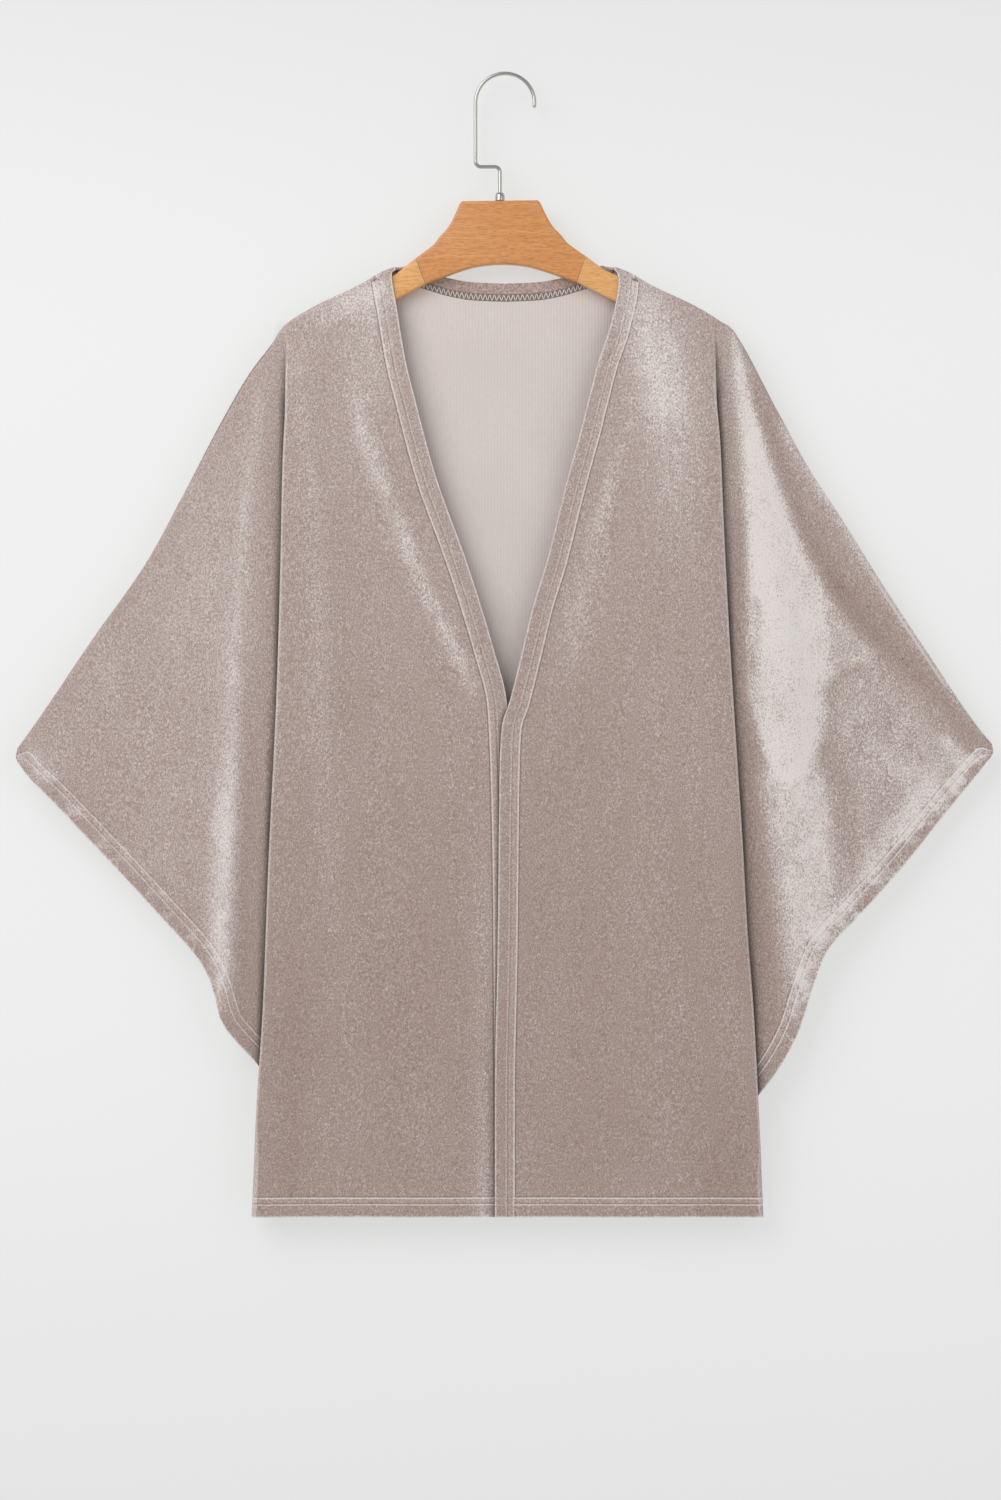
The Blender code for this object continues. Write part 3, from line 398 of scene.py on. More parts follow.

# Painted sheen (above 0) and painted shade (below 0) where the pile lies to or from the light, with the
# widths in millimetres
FRONT_NAP_SHEEN = (
    Patch(((217, -248), (227, -280), (240, -326), (253.5, -370), (268, -412), (287, -460), (311, -498),
            (334, -526), (352, -548), (340, -560), (314, -565), (302, -583), (304, -605), (298, -635),
            (288, -660), (270, -672), (252, -668), (240, -625), (229, -590), (227, -530), (229, -470),
            (227, -410), (222, -350), (218, -292)), 0.9, 8.5),
    Patch(((302, -476), (320, -493), (352, -548), (340, -562), (312, -566), (306, -530)), -0.4, 12),
    Patch(((244, -668), (270, -670), (298, -656), (312, -688.8), (320, -753.4), (305, -803.7),
            (291.7, -831), (286, -864.5), (276, -895), (264, -838), (256, -753.4),
            (248, -688.8)), 0.76, 18),
    Patch(((314, -565), (352, -550), (402, -600), (424, -650), (390, -700), (330, -760), (328, -700),
            (310, -630)), 0.36, 16),
    Stroke(((238.5, -500, 3, -0.5), (237, -560, 4, -0.5), (240, -600, 3, -0.2))),
    Stroke(((233, -290, 5, -0.2), (247, -325, 8, -0.45), (262, -372, 9, -0.34), (291, -443, 10, -0.34),
            (322, -486, 10, -0.34), (355, -533, 11, -0.3), (404, -580, 12, -0.25),
            (451, -628, 10, -0.15))),
    Stroke(((264, -335, 6, 0.45), (318, -416, 9, 0.75), (364, -488, 9, 0.7), (412, -558, 9, 0.7),
            (452, -620, 9, 0.6))),
    Stroke(((418, -632, 8, 0.55), (437, -655, 9, 0.65), (425, -680, 7, 0.35))),
    Stroke(((220, -420, 7, -0.3), (226, -600, 9, -0.35), (236, -760, 12, -0.35), (246, -900, 13, -0.25))),
    Stroke(((300, -815, 9, 0.35), (340, -762, 10, 0.55), (376, -715, 13, 0.6), (402, -685, 14, 0.55),
            (416, -660, 12, 0.3))),
    Stroke(((356, -640, 10, 0.1), (385, -664, 14, 0.3), (398, -676, 10, 0.2))),
    Stroke(((-231, -302, 6, 0.15), (-247, -423, 8, 0.2), (-256, -537, 8, 0.2), (-262, -651, 10, 0.32),
            (-267, -746, 11, 0.55), (-270, -830, 10, 0.6), (-268, -880, 8, 0.45))),
    Stroke(((-186, -232, 12, 0.25), (-150, -216, 16, 0.45), (-118, -204, 14, 0.4))),
    Stroke(((-206, -820, 14, 0), (-205, -900, 18, -0.18), (-202, -1050, 18, -0.16))),
    Stroke(((-160, -700, 16, 0), (-156, -820, 20, 0.1), (-150, -1000, 20, 0.12))),
    Stroke(((115, -640, 18, 0), (112, -780, 22, 0.08), (108, -960, 22, 0.06))),
    Stroke(((108, -355, 8, 0.15), (96, -400, 9, 0.36), (80, -460, 11, 0.26), (66, -520, 14, 0.3),
            (58, -570, 14, 0.15))),
    Stroke(((-238, -560, 7, -0.1), (-241, -700, 8, -0.2), (-243, -850, 8, -0.2), (-243, -930, 7, -0.1))),
    Stroke(((-223, -300, 7, -0.1), (-226, -430, 8, -0.12), (-229, -600, 6, -0.05))),
    Patch(((-230, -290), (-230, -700), (-255, -860), (-425, -680), (-440, -620), (-320, -440)), 0.22, 30),
    Stroke(((-450, -640, 10, 0.3), (-430, -660, 10, 0.15))),
    Stroke(((-196, -280, 9, 0.12), (-181, -404, 11, 0.25), (-176, -546, 12, 0.25), (-173, -689, 12, 0.18),
            (-168, -800, 11, 0.08))),
    Stroke(((-146, -300, 7, 0.1), (-133, -345, 8, 0.32), (-111, -404, 10, 0.44), (-88, -463, 10, 0.54),
            (-62, -518, 8, 0.46), (-44, -552, 8, 0.56), (-30, -588, 6, 0.2))),
    Stroke(((-124, -220, 22, 0.26), (-130, -290, 26, 0.18), (-125, -370, 22, 0.1))),
    Stroke(((128, -205, 26, 0.42), (142, -255, 33, 0.55), (154, -308, 28, 0.62), (160, -350, 28, 0.34),
            (164, -420, 24, 0.16), (166, -480, 20, 0.06))),
    Stroke(((-22, -736, 6, 0.08), (-22, -879, 7, 0.18), (-21, -1000, 7, 0.28), (-20, -1080, 8, 0.35))),
    Stroke(((202, -960, 30, -0.12), (205, -1070, 30, -0.18))),
    Stroke(((60, -560, 40, -0.06), (70, -760, 50, -0.1), (70, -1000, 60, -0.12))),
    Stroke(((-120, -620, 40, -0.08), (-110, -820, 50, -0.12), (-110, -1020, 50, -0.12))),
)
BACK_NAP_SHEEN = (
    Stroke(((110, -240, 30, 0.35), (126, -400, 22, 0.4), (118, -600, 18, 0.25), (120, -820, 16, 0.1))),
    Stroke(((-128, -230, 30, 0.3), (-140, -380, 20, 0.35), (-124, -600, 18, 0.28),
            (-118, -840, 16, 0.12))),
    Stroke(((238, -320, 8, 0.4), (252, -440, 16, 0.8), (262, -580, 24, 0.8), (268, -760, 18, 0.6),
            (270, -880, 10, 0.3))),
    Stroke(((-234, -310, 8, 0.3), (-250, -430, 14, 0.7), (-260, -600, 18, 0.8), (-264, -780, 15, 0.6),
            (-264, -880, 9, 0.3))),
    Stroke(((260, -350, 8, -0.4), (302, -450, 12, -0.6), (346, -545, 13, -0.4), (390, -600, 12, -0.1))),
    Stroke(((-272, -365, 8, -0.4), (-312, -470, 12, -0.55), (-350, -560, 13, -0.4),
            (-380, -640, 12, -0.1))),
    Stroke(((0, -230, 50, 0.15), (4, -420, 45, 0.15), (0, -650, 40, 0.08))),
    Stroke(((60, -700, 30, -0.12), (56, -1060, 35, -0.18))),
    Stroke(((-60, -680, 30, -0.12), (-58, -1060, 35, -0.18))),
)


@dataclass(frozen=True)
class DrapeFold:
    """The fold between body and sleeve: two opposite bends and the cloth between them."""

    outer_radius: float = 0.0026
    inner_radius: float = 0.0010
    side_radius: float = 0.0055
    segments: int = 7
    start_angle: float = math.radians(22)
    closed_share: float = 0.10
    tuck_from_share: float = 0.06
    tuck_top: float = 0.0012
    tuck_underarm: float = 0.0180
    hem_rise: float = 0.97
    side_open_share: float = 0.50

    def turn(self, share: Array) -> Array:
        """The angle that the fold turns through, `share` of the way to the underarm."""
        return blend(self.start_angle, math.pi, eased(share / self.closed_share))

    def tuck(self, share: Array) -> Array:
        """The cloth between the two bends, which grows once the fold has closed."""
        grown = np.maximum(0.0, (share - self.tuck_from_share) / (1 - self.tuck_from_share))
        return blend(self.tuck_top, self.tuck_underarm, grown)

    def profile(
        self, turn: Array, tuck: Array, radius: Optional[Array] = None
    ) -> list[tuple[Array, Array, Array]]:
        """Offsets along the fold, from the start of its outer bend.

        Args:
            turn: The angle of each bend.
            tuck: The cloth between them.
            radius: The outer bend's radius, where it isn't the usual one.

        Returns:
            Outward offset, backward offset and cloth length for each column of the fold.
        """
        radius = self.outer_radius if radius is None else radius
        steps = np.arange(1, self.segments + 1) / self.segments
        points = [
            (radius * np.sin(turn * s), radius * (1 - np.cos(turn * s)), radius * turn * s) for s in steps
        ]
        out, back, length = points[-1]
        out = out + tuck * np.cos(turn)
        back = back + tuck * np.sin(turn)
        length = length + tuck
        points.append((out, back, length))
        inner = self.inner_radius
        for s in steps:
            angle = turn * (1 - s)
            points.append((
                out + inner * (np.sin(turn) - np.sin(angle)),
                back + inner * (np.cos(angle) - np.cos(turn)),
                length + inner * (turn - angle),
            ))
        return points

    def start_out(self, half: Half, z: Array, turn: Array, radius: Optional[Array] = None) -> Array:
        """Where the body's flat cloth ends and the fold begins to turn."""
        radius = self.outer_radius if radius is None else radius
        return half.fold_line.at(z) - radius * np.sin(np.minimum(turn, math.pi / 2))

    def side_bend_radius(self, lower: Array) -> Array:
        """Radius of the body's side bend, which widens from the underarm to the hem."""
        return blend(self.outer_radius, self.side_radius, eased(lower / self.side_open_share))


@dataclass
class Column:
    """One run of points down a cloth piece, on its outer face."""

    out: Array
    depth: Array
    z: Array
    hem: Array
    neck: Optional[Array] = None
    shade: Optional[Array] = None

    def __post_init__(self) -> None:
        """Fill in the distance from the neck and the fold's shade where a column has none."""
        if self.neck is None:
            self.neck = np.full(len(self.z), FAR_FROM_HEM)
        if self.shade is None:
            self.shade = np.zeros(len(self.z))


Placer = Callable[[Array, Array], tuple[Array, Array]]


@dataclass
class Drape:
    """How the coat's cloth hangs over its hanger, shared by all its pieces."""

    seam_gap: float = 0.0003
    shoulder_depth: float = 0.0089
    sleeve_depth: float = 0.0064
    centre_depth: float = 0.0104
    hem_depth: float = 0.0120
    neck_depth: float = 0.0094
    rounding: float = 0.0040
    flat_side_from: float = 0.90
    rounding_power: float = 2.4
    wave_height: float = 0.0013
    wave_length: float = 0.190
    wave_phase: float = 0.9
    lap_forward: float = 0.0020
    lap_backward: float = 0.0013
    tip_rounding: float = 0.0028
    # Painted highlight on the drape fold's crest and painted shadow beside it on the sleeve, crisp and
    # soft, with where they start and how they grow
    fold_crest_highlight: float = 0.34
    fold_painted_shadow: float = -0.60
    fold_soft_shadow: float = -0.08
    crisp_width: float = 0.0035
    soft_width: float = 0.012
    shade_start: float = 0.010
    shade_growth: float = 0.060
    centre_settled: float = 0.2
    sleeve_settled: float = 0.55
    lap_reach: float = 0.012
    lap_fade: float = 0.050
    lap_top: float = -0.500
    lap_growth: float = 0.075
    wave_top: float = -0.35
    wave_growth: float = 0.70
    sleeve_fold_start: float = 0.05
    sleeve_fold_growth: float = 0.40
    hang_rows: int = 128
    low_rows: int = 11
    roll_steps: int = 6
    easing_rows: int = 8
    row_packing: float = 0.25
    even_rows_from: float = 0.4
    least_flat: float = 0.001
    most_roll_share: float = 0.15
    most_hem_share: float = 0.80
    most_slant: float = 1.06
    neck_settled: float = 0.10
    corner_depth: float = 0.0004
    climb_power: float = 2.5
    fold: DrapeFold = field(default_factory=DrapeFold)

    def fold_depth(self, share: Array) -> Array:
        """Half depth of the body at the fold, with the sleeve between front and back."""
        fold = self.fold
        last = fold.profile(fold.turn(share), fold.tuck(share))[-1]
        return self.shoulder_depth + last[1]

    def body_depth(self, across: Array, share: Array, lower: Array) -> Array:
        """Half depth `across` the body, `share` down to the underarm and `lower` past it."""
        centre = blend(self.shoulder_depth, self.centre_depth, eased(share / self.centre_settled))
        side = blend(self.fold_depth(share), self.hem_depth, lower)
        return blend(centre, side, np.minimum(1.0, across / self.flat_side_from) ** self.rounding_power)

    def sleeve_half_depth(self, across: Array) -> Array:
        """Half depth of the sleeve, `across` it from the fold to its tip."""
        return blend(self.shoulder_depth, self.sleeve_depth, eased(across / self.sleeve_settled))

    def lap(self, half: Half, out: Array, z: Array) -> Array:
        """Forward shift of the left front, and backward of the right, where they lap."""
        near = 1 - eased((abs(out) - self.lap_reach) / self.lap_fade)
        low = eased((self.lap_top - z) / self.lap_growth)
        return (self.lap_forward if half.sign > 0 else -self.lap_backward) * near * low

    def wave(self, half: Half, out: Array, z: Array) -> Array:
        """Backward shift that the front and the back share."""
        grown = eased((self.wave_top - z) / self.wave_growth)
        body = self.wave_height * grown * np.sin(
            2 * math.pi * half.sign * out / self.wave_length + self.wave_phase
        )
        reach = out - SHOULDER_END
        fall = half.silhouette.at(SHOULDER_END) - z
        bearing = np.degrees(np.arctan2(reach, np.maximum(fall, self.seam_gap)))
        grown = eased((np.hypot(reach, fall) - self.sleeve_fold_start) / self.sleeve_fold_growth)
        total = np.zeros_like(z)
        for middle, height, spread in half.folds:
            total = total + height * np.exp(-(((bearing - middle) / spread) ** 2))
        return body - total * grown

    def roll(self, half_depth: float, drop: float) -> tuple[Array, Array]:
        """Depth and fall of the rows that carry the cloth over its top edge."""
        rounding = min(self.rounding, half_depth - self.least_flat)
        flat = half_depth - rounding
        angles = np.linspace(0.0, math.pi / 2, self.roll_steps)
        start = self.seam_gap / 2
        depths = np.concatenate(((start, (start + flat) / 2), flat + rounding * np.sin(angles)))
        falls = np.concatenate(((0.0, 0.0), drop * (1 - np.cos(angles))))
        return depths, falls

    def hanging(self, length: float, rises: Array, evenness: float) -> tuple[Array, Array]:
        """Shares of a column's length at which its rows lie, and their distances from the hem."""
        steps = TURNED_HEM.rows()
        rises = rises * min(1.0, self.most_hem_share * length / rises[0])
        hem_shares = 1 - rises / length
        even = np.arange(1, self.hang_rows + 1) / (self.hang_rows + 1)
        packed = even ** (1 + self.row_packing * (1 - evenness))
        easing = np.linspace(FAR_FROM_HEM, steps[0], self.easing_rows + 1)[:-1]
        far = np.full(self.hang_rows - self.easing_rows, FAR_FROM_HEM)
        shares = np.concatenate((hem_shares[0] * packed, hem_shares))
        return shares, np.concatenate((far, easing, steps))

    def shade_share(self, half: Half, z: Array) -> Array:
        """How far the drape fold's painted shade and highlight have grown, which start below the fold's
        top.
        """
        return eased((half.fold_top - self.shade_start - z) / self.shade_growth)

    def upper(
        self,
        half: Half,
        top_out: float,
        half_depth: float,
        bottom: float,
        place: Placer,
        rises: Optional[Array] = None,
        evenness: float = 0.0,
        lowered: float = 0.0,
    ) -> Column:
        """One column from its top edge down to the underarm row.

        Args:
            half: The half of the coat that it lies in.
            top_out: Where it starts on the top edge.
            half_depth: The cloth's half depth there.
            bottom: The height of its last row.
            place: Gives the outward place and half depth at a share of the way down.
            rises: Heights of the turned hem's rows above the last, or None where there is no hem.
            evenness: From rows packed towards the top (0) to equal steps (1).
            lowered: How far its top edge lies below the silhouette.

        Returns:
            The column.
        """
        top = float(half.silhouette.at(top_out)) - lowered
        length = top - bottom
        slant = 1.0 if top_out < SHOULDER_END else float(half.silhouette.slant(top_out))
        drop = min(self.rounding * slant, self.most_roll_share * length)
        depths, falls = self.roll(half_depth, drop)
        spread = TURNED_HEM.rows() if rises is None else rises
        shares, distances = self.hanging(top - drop - bottom, spread, evenness)
        z = blend(top - drop, bottom, shares)
        out, depth = place(shares, z)
        if rises is None:
            distances = np.full(len(shares), FAR_FROM_HEM)
        head = np.full(len(depths), FAR_FROM_HEM)
        return Column(
            np.concatenate((np.full(len(depths), top_out), out)),
            np.concatenate((depths, depth)),
            np.concatenate((top - falls, z)),
            np.concatenate((head, distances)),
        )

    def lower_shares(self, length: float) -> tuple[Array, Array]:
        """Shares of the way from the underarm to the bottom hem, and distances from it."""
        steps = TURNED_HEM.rows()
        hem_shares = 1 - steps / length
        even = hem_shares[0] * np.arange(0, self.low_rows + 1) / (self.low_rows + 1)
        distances = np.concatenate((np.minimum(FAR_FROM_HEM, length * (1 - even)), steps))
        return np.concatenate((even, hem_shares)), distances

    def lower(self, place: Placer, underarm: float) -> Column:
        """The stretch of a column from the underarm row down to the bottom hem."""
        shares, distances = self.lower_shares(underarm - HEM_LEVEL)
        z = blend(underarm, HEM_LEVEL, shares)
        out, depth = place(shares, z)
        return Column(out, depth, z, distances)

    def hidden_hem(self, half: Half, index: int) -> float:
        """The sleeve hem's height where it runs up behind the drape fold."""
        fold = self.fold
        profile = fold.profile(math.pi, fold.tuck_underarm)
        return half.underarm + fold.hem_rise * float(profile[index][2] - profile[fold.segments - 1][2])

    def fold_corner(self, half: Half) -> float:
        """Where the drape fold begins on the shoulder."""
        fold = self.fold
        return float(fold.start_out(half, half.fold_top, fold.start_angle))

    def fold_columns(self, half: Half) -> list[Column]:
        """The drape fold's columns, down to the underarm and the hidden hem."""
        fold = self.fold
        start_top = self.fold_corner(half)
        head = fold.profile(fold.start_angle, fold.tuck_top)
        columns = []
        for index in range(2 * fold.segments + 1):
            bottom, rises = half.underarm, None
            if index >= fold.segments:
                bottom = self.hidden_hem(half, index)
                rises = TURNED_HEM.rows() * math.hypot(1.0, fold.hem_rise)

            def place(share: Array, z: Array) -> tuple[Array, Array]:
                """The fold's column at each row."""
                turn = fold.turn(share)
                out, back, _ = fold.profile(turn, fold.tuck(share))[index]
                start = fold.start_out(half, z, turn)
                return start + out, self.fold_depth(share) - back

            top_out = start_top + float(head[index][2])
            column = self.upper(half, top_out, self.shoulder_depth, bottom, place, rises)
            # Painted highlight on the fold's outer bend, painted shadow from there on into its inner bend
            tone = self.fold_crest_highlight if index < fold.segments - 1 else self.fold_painted_shadow
            column.shade = self.shade_share(half, column.z) * tone
            columns.append(column)
        return columns

    def side_columns(self, half: Half, rolls: int = 5) -> list[Column]:
        """Below the underarm: the body's side bend and its wall to the side seam."""
        fold = self.fold
        length = half.underarm - HEM_LEVEL
        shares, distances = self.lower_shares(length)
        z = blend(half.underarm, HEM_LEVEL, shares)
        turn = blend(math.pi, math.pi / 2, eased(shares / fold.side_open_share))
        depth = blend(self.fold_depth(1.0), self.hem_depth, shares)
        radius = fold.side_bend_radius(shares)
        start = fold.start_out(half, z, turn, radius)
        profile = fold.profile(turn, fold.tuck_underarm, radius)
        # Painted highlight along the body's side bend
        crest_highlight = np.full(len(z), self.fold_crest_highlight)
        columns = [
            Column(start + out, depth - back, z, distances, None, crest_highlight)
            for out, back, _ in profile[:fold.segments]
        ]
        out, back, _ = profile[fold.segments - 1]
        for index in range(1, rolls + 1):
            half_depth = blend(depth - back, self.seam_gap / 2, index / rolls)
            columns.append(Column(start + out, half_depth, z, distances))
        return columns

    def sleeve_columns(self, half: Half, facing: Facing, count: int) -> list[Column]:
        """The sleeve, from the drape fold out to its tip."""
        fold = self.fold
        head = fold.profile(fold.start_angle, fold.tuck_top)
        foot = fold.profile(math.pi, fold.tuck_underarm)
        top_start = self.fold_corner(half) + float(head[-1][2])
        bottom_z = self.hidden_hem(half, -1)
        bottom_start = float(fold.start_out(half, bottom_z, math.pi) + foot[-1][0])
        columns = []
        for across in np.arange(1, count + 1) / count:
            top_out = float(blend(top_start, half.sleeve_tip[0], across))
            bottom_out = float(blend(bottom_start, half.sleeve_tip[1], across))
            near = (1 - across) ** 2
            depth = float(self.sleeve_half_depth(across))

            def place(share: Array, z: Array) -> tuple[Array, Array]:
                """The sleeve's column at each row."""
                turn = fold.turn(share)
                end = fold.profile(turn, fold.tuck(share))[-1][0]
                end = end + fold.start_out(half, z, turn)
                straight = blend(top_start, bottom_start, share)
                out = blend(top_out, bottom_out, share) + (end - straight) * near
                out = out + self.tip_rounding * np.sin(math.pi * share) * across ** 8
                return out, np.full(len(share), depth)

            column = self.upper(
                half,
                top_out,
                depth,
                float(half.sleeve_hem.at(bottom_out)),
                place,
                half.hem_heights(bottom_out, TURNED_HEM.rows()),
                float(eased(across / self.even_rows_from)),
                float(half.front_drop.at(top_out)) if facing is Facing.FRONT else 0.0,
            )
            # Painted shadow on the sleeve beside the drape fold, crisp close to it and soft further out
            beside = np.maximum(0.0, column.out - half.fold_line.at(column.z))
            crisp = self.fold_painted_shadow * np.exp(-((beside / self.crisp_width) ** 2))
            soft = self.fold_soft_shadow * np.exp(-beside / self.soft_width)
            column.shade = (crisp + soft) * self.shade_share(half, column.z)
            columns.append(column)
        return columns

    def front_body(self, half: Half, count: int) -> list[tuple[Column, Column, float, float]]:
        """The front's body, from its hemmed edge to the drape fold.

        Args:
            half: The half of the coat.
            count: Columns between the front edge's hem and the drape fold.

        Returns:
            For each column its upper and its lower stretch, its distance from the front edge
            within the hem and its share of the way from there to the fold.
        """
        fold = self.fold
        top_start = float(half.front_edge.at(half.front_edge.keys[-1]))
        top_end = self.fold_corner(half)
        steps = FRONT_HEM.rows()[::-1]
        runs = [(float(step), 0.0) for step in steps]
        runs += [(float(steps[-1]), (index + 1) / count) for index in range(count)]
        columns = []
        for distance, share_across in runs:

            def spread(z: Array, start: Array, end: Array, lean: Array) -> tuple[Array, Array]:
                """Place between the front edge and the fold, and its share of the whole."""
                hem_side = start + distance * lean
                out = blend(hem_side, end, share_across)
                return out, (out - start) / (end - start)

            def place(share: Array, z: Array) -> tuple[Array, Array]:
                """The body's column above the underarm."""
                start = half.front_edge.at(z)
                end = fold.start_out(half, z, fold.turn(share))
                out, across = spread(z, start, end, np.minimum(half.front_edge.slant(z), self.most_slant))
                depth = self.body_depth(across, share, 0.0) + self.lap(half, out, z)
                return out, depth

            def low_place(share: Array, z: Array) -> tuple[Array, Array]:
                """The body's column below the underarm."""
                start = half.front_edge.at(z)
                end = fold.start_out(half, z, math.pi, fold.side_bend_radius(share))
                out, across = spread(z, start, end, 1.0)
                depth = self.body_depth(across, 1.0, share) + self.lap(half, out, z)
                return out, depth

            top_out = float(spread(0.0, top_start, top_end, 1.0)[0])
            column = self.upper(half, top_out, self.shoulder_depth, half.underarm, place)
            columns.append((column, self.lower(low_place, half.underarm), distance, share_across))
        return columns

    def back_body(
        self, half: Half, neck_count: int, climb_count: int, count: int
    ) -> list[tuple[Column, Column]]:
        """Half of the back's body: the neck's columns, then the shoulder's.

        Args:
            half: The half of the coat.
            neck_count: Columns under the neck's turned edge.
            climb_count: Columns where the neck's edge climbs over the hanger.
            count: Columns under the shoulder seam.

        Returns:
            Pairs of the upper and the lower stretch of each column.
        """
        fold = self.fold
        top_end = self.fold_corner(half)

        def placers(across: float) -> tuple[Placer, Placer, float]:
            """The places of a back column above and below the underarm, and its height."""
            middle = (LEFT.underarm + RIGHT.underarm) / 2
            underarm = float(blend(middle, half.underarm, across))

            def place(share: Array, z: Array) -> tuple[Array, Array]:
                """Above the underarm."""
                out = across * fold.start_out(half, z, fold.turn(share))
                return out, self.body_depth(across, share, 0.0)

            def low_place(share: Array, z: Array) -> tuple[Array, Array]:
                """Below the underarm."""
                start = fold.start_out(half, z, math.pi, fold.side_bend_radius(share))
                return across * start, self.body_depth(across, 1.0, share)

            return place, low_place, underarm

        pairs = []
        for out in np.linspace(0.0, NECK_SIDE, neck_count):
            place, low_place, underarm = placers(float(out) / top_end)
            edge = float(BACK_NECK.at(out))
            top = edge - NECK_FALL_END
            shares, _ = self.hanging(top - underarm, TURNED_HEM.rows(), 0.0)
            z = blend(top, underarm, shares)
            outs, depths = place(shares, z)
            outs = blend(out, outs, eased(shares / self.neck_settled))
            falls = np.concatenate((NECK_FALLS, np.minimum(FAR_FROM_HEM, edge - z)))
            column = Column(
                np.concatenate((np.full(len(NECK_FALLS), out), outs)),
                np.concatenate((np.full(len(NECK_FALLS), self.neck_depth), depths)),
                np.concatenate((edge - NECK_FALLS, z)),
                np.full(len(falls), FAR_FROM_HEM),
                falls,
            )
            pairs.append((column, self.lower(low_place, underarm)))
        shoulder = []
        for share_top in np.linspace(0.0, 1.0, count):
            top_out = float(blend(NECK_CORNER, top_end, share_top))
            place, low_place, underarm = placers(top_out / top_end)
            column = self.upper(half, top_out, self.shoulder_depth, underarm, place)
            shoulder.append((column, self.lower(low_place, underarm)))
        corner = shoulder[0][0]
        corner.depth[0] += self.corner_depth
        neck_rows = len(NECK_FALLS)
        corner.neck[:neck_rows] = NECK_FALLS
        for index in range(1, climb_count + 1):
            share = index / (climb_count + 1)
            pairs.append(tuple(
                Column(
                    blend(near.out, far.out, share),
                    blend(near.depth, far.depth, share ** self.climb_power),
                    blend(near.z, far.z, share),
                    near.hem,
                    blend(near.neck, far.neck, share),
                )
                for near, far in zip(pairs[neck_count - 1], shoulder[0])
            ))
        return pairs + shoulder


# Depth of a line of stitches, and half depth from which folds stand out in full
GROOVE_DEPTH = 0.00025
FREE_DEPTH = 0.006


@dataclass
class ClothGrid:
    """Stacked columns of one cloth piece, with their places and distances from its edges."""

    places: Array
    edge: Array
    front: Array
    neck: Array
    shade: Array

    @staticmethod
    def stacked(
        drape: Drape,
        half: Half,
        facing: Facing,
        columns: Sequence[Column],
        front: Sequence[float],
        folds: Marks,
    ) -> "ClothGrid":
        """Turn columns into places, with the waves, the folds and the stitched grooves."""
        out, depth, z, hem, neck, shade = (
            np.stack([getattr(column, name) for column in columns])
            for name in ("out", "depth", "z", "hem", "neck", "shade")
        )
        edge_front = np.repeat(np.array(front)[:, None], z.shape[1], axis=1)
        x = half.sign * out
        sunk = GROOVE_DEPTH * np.maximum(TURNED_HEM.on_line(hem), FRONT_HEM.on_line(edge_front))
        free = eased(abs(depth) / FREE_DEPTH)
        raised = field_of(folds, x, z) * MILLIMETRE - sunk
        y = facing.value * (depth + raised * free) + drape.wave(half, out, z)
        places = np.stack((x, y, z), axis=-1)
        return ClothGrid(places, np.minimum(hem, edge_front), edge_front, neck, shade)

    def parts(self) -> tuple[Array, ...]:
        """Everything that is kept for each point."""
        return self.places, self.edge, self.front, self.neck, self.shade

    def mirrored(self) -> "ClothGrid":
        """The same columns in the opposite order, without the first."""
        return ClothGrid(*(part[:0:-1] for part in self.parts()))

    def beside(self, other: "ClothGrid") -> "ClothGrid":
        """This grid with another's columns after its own."""
        return ClothGrid(*(np.concatenate(pair) for pair in zip(self.parts(), other.parts())))


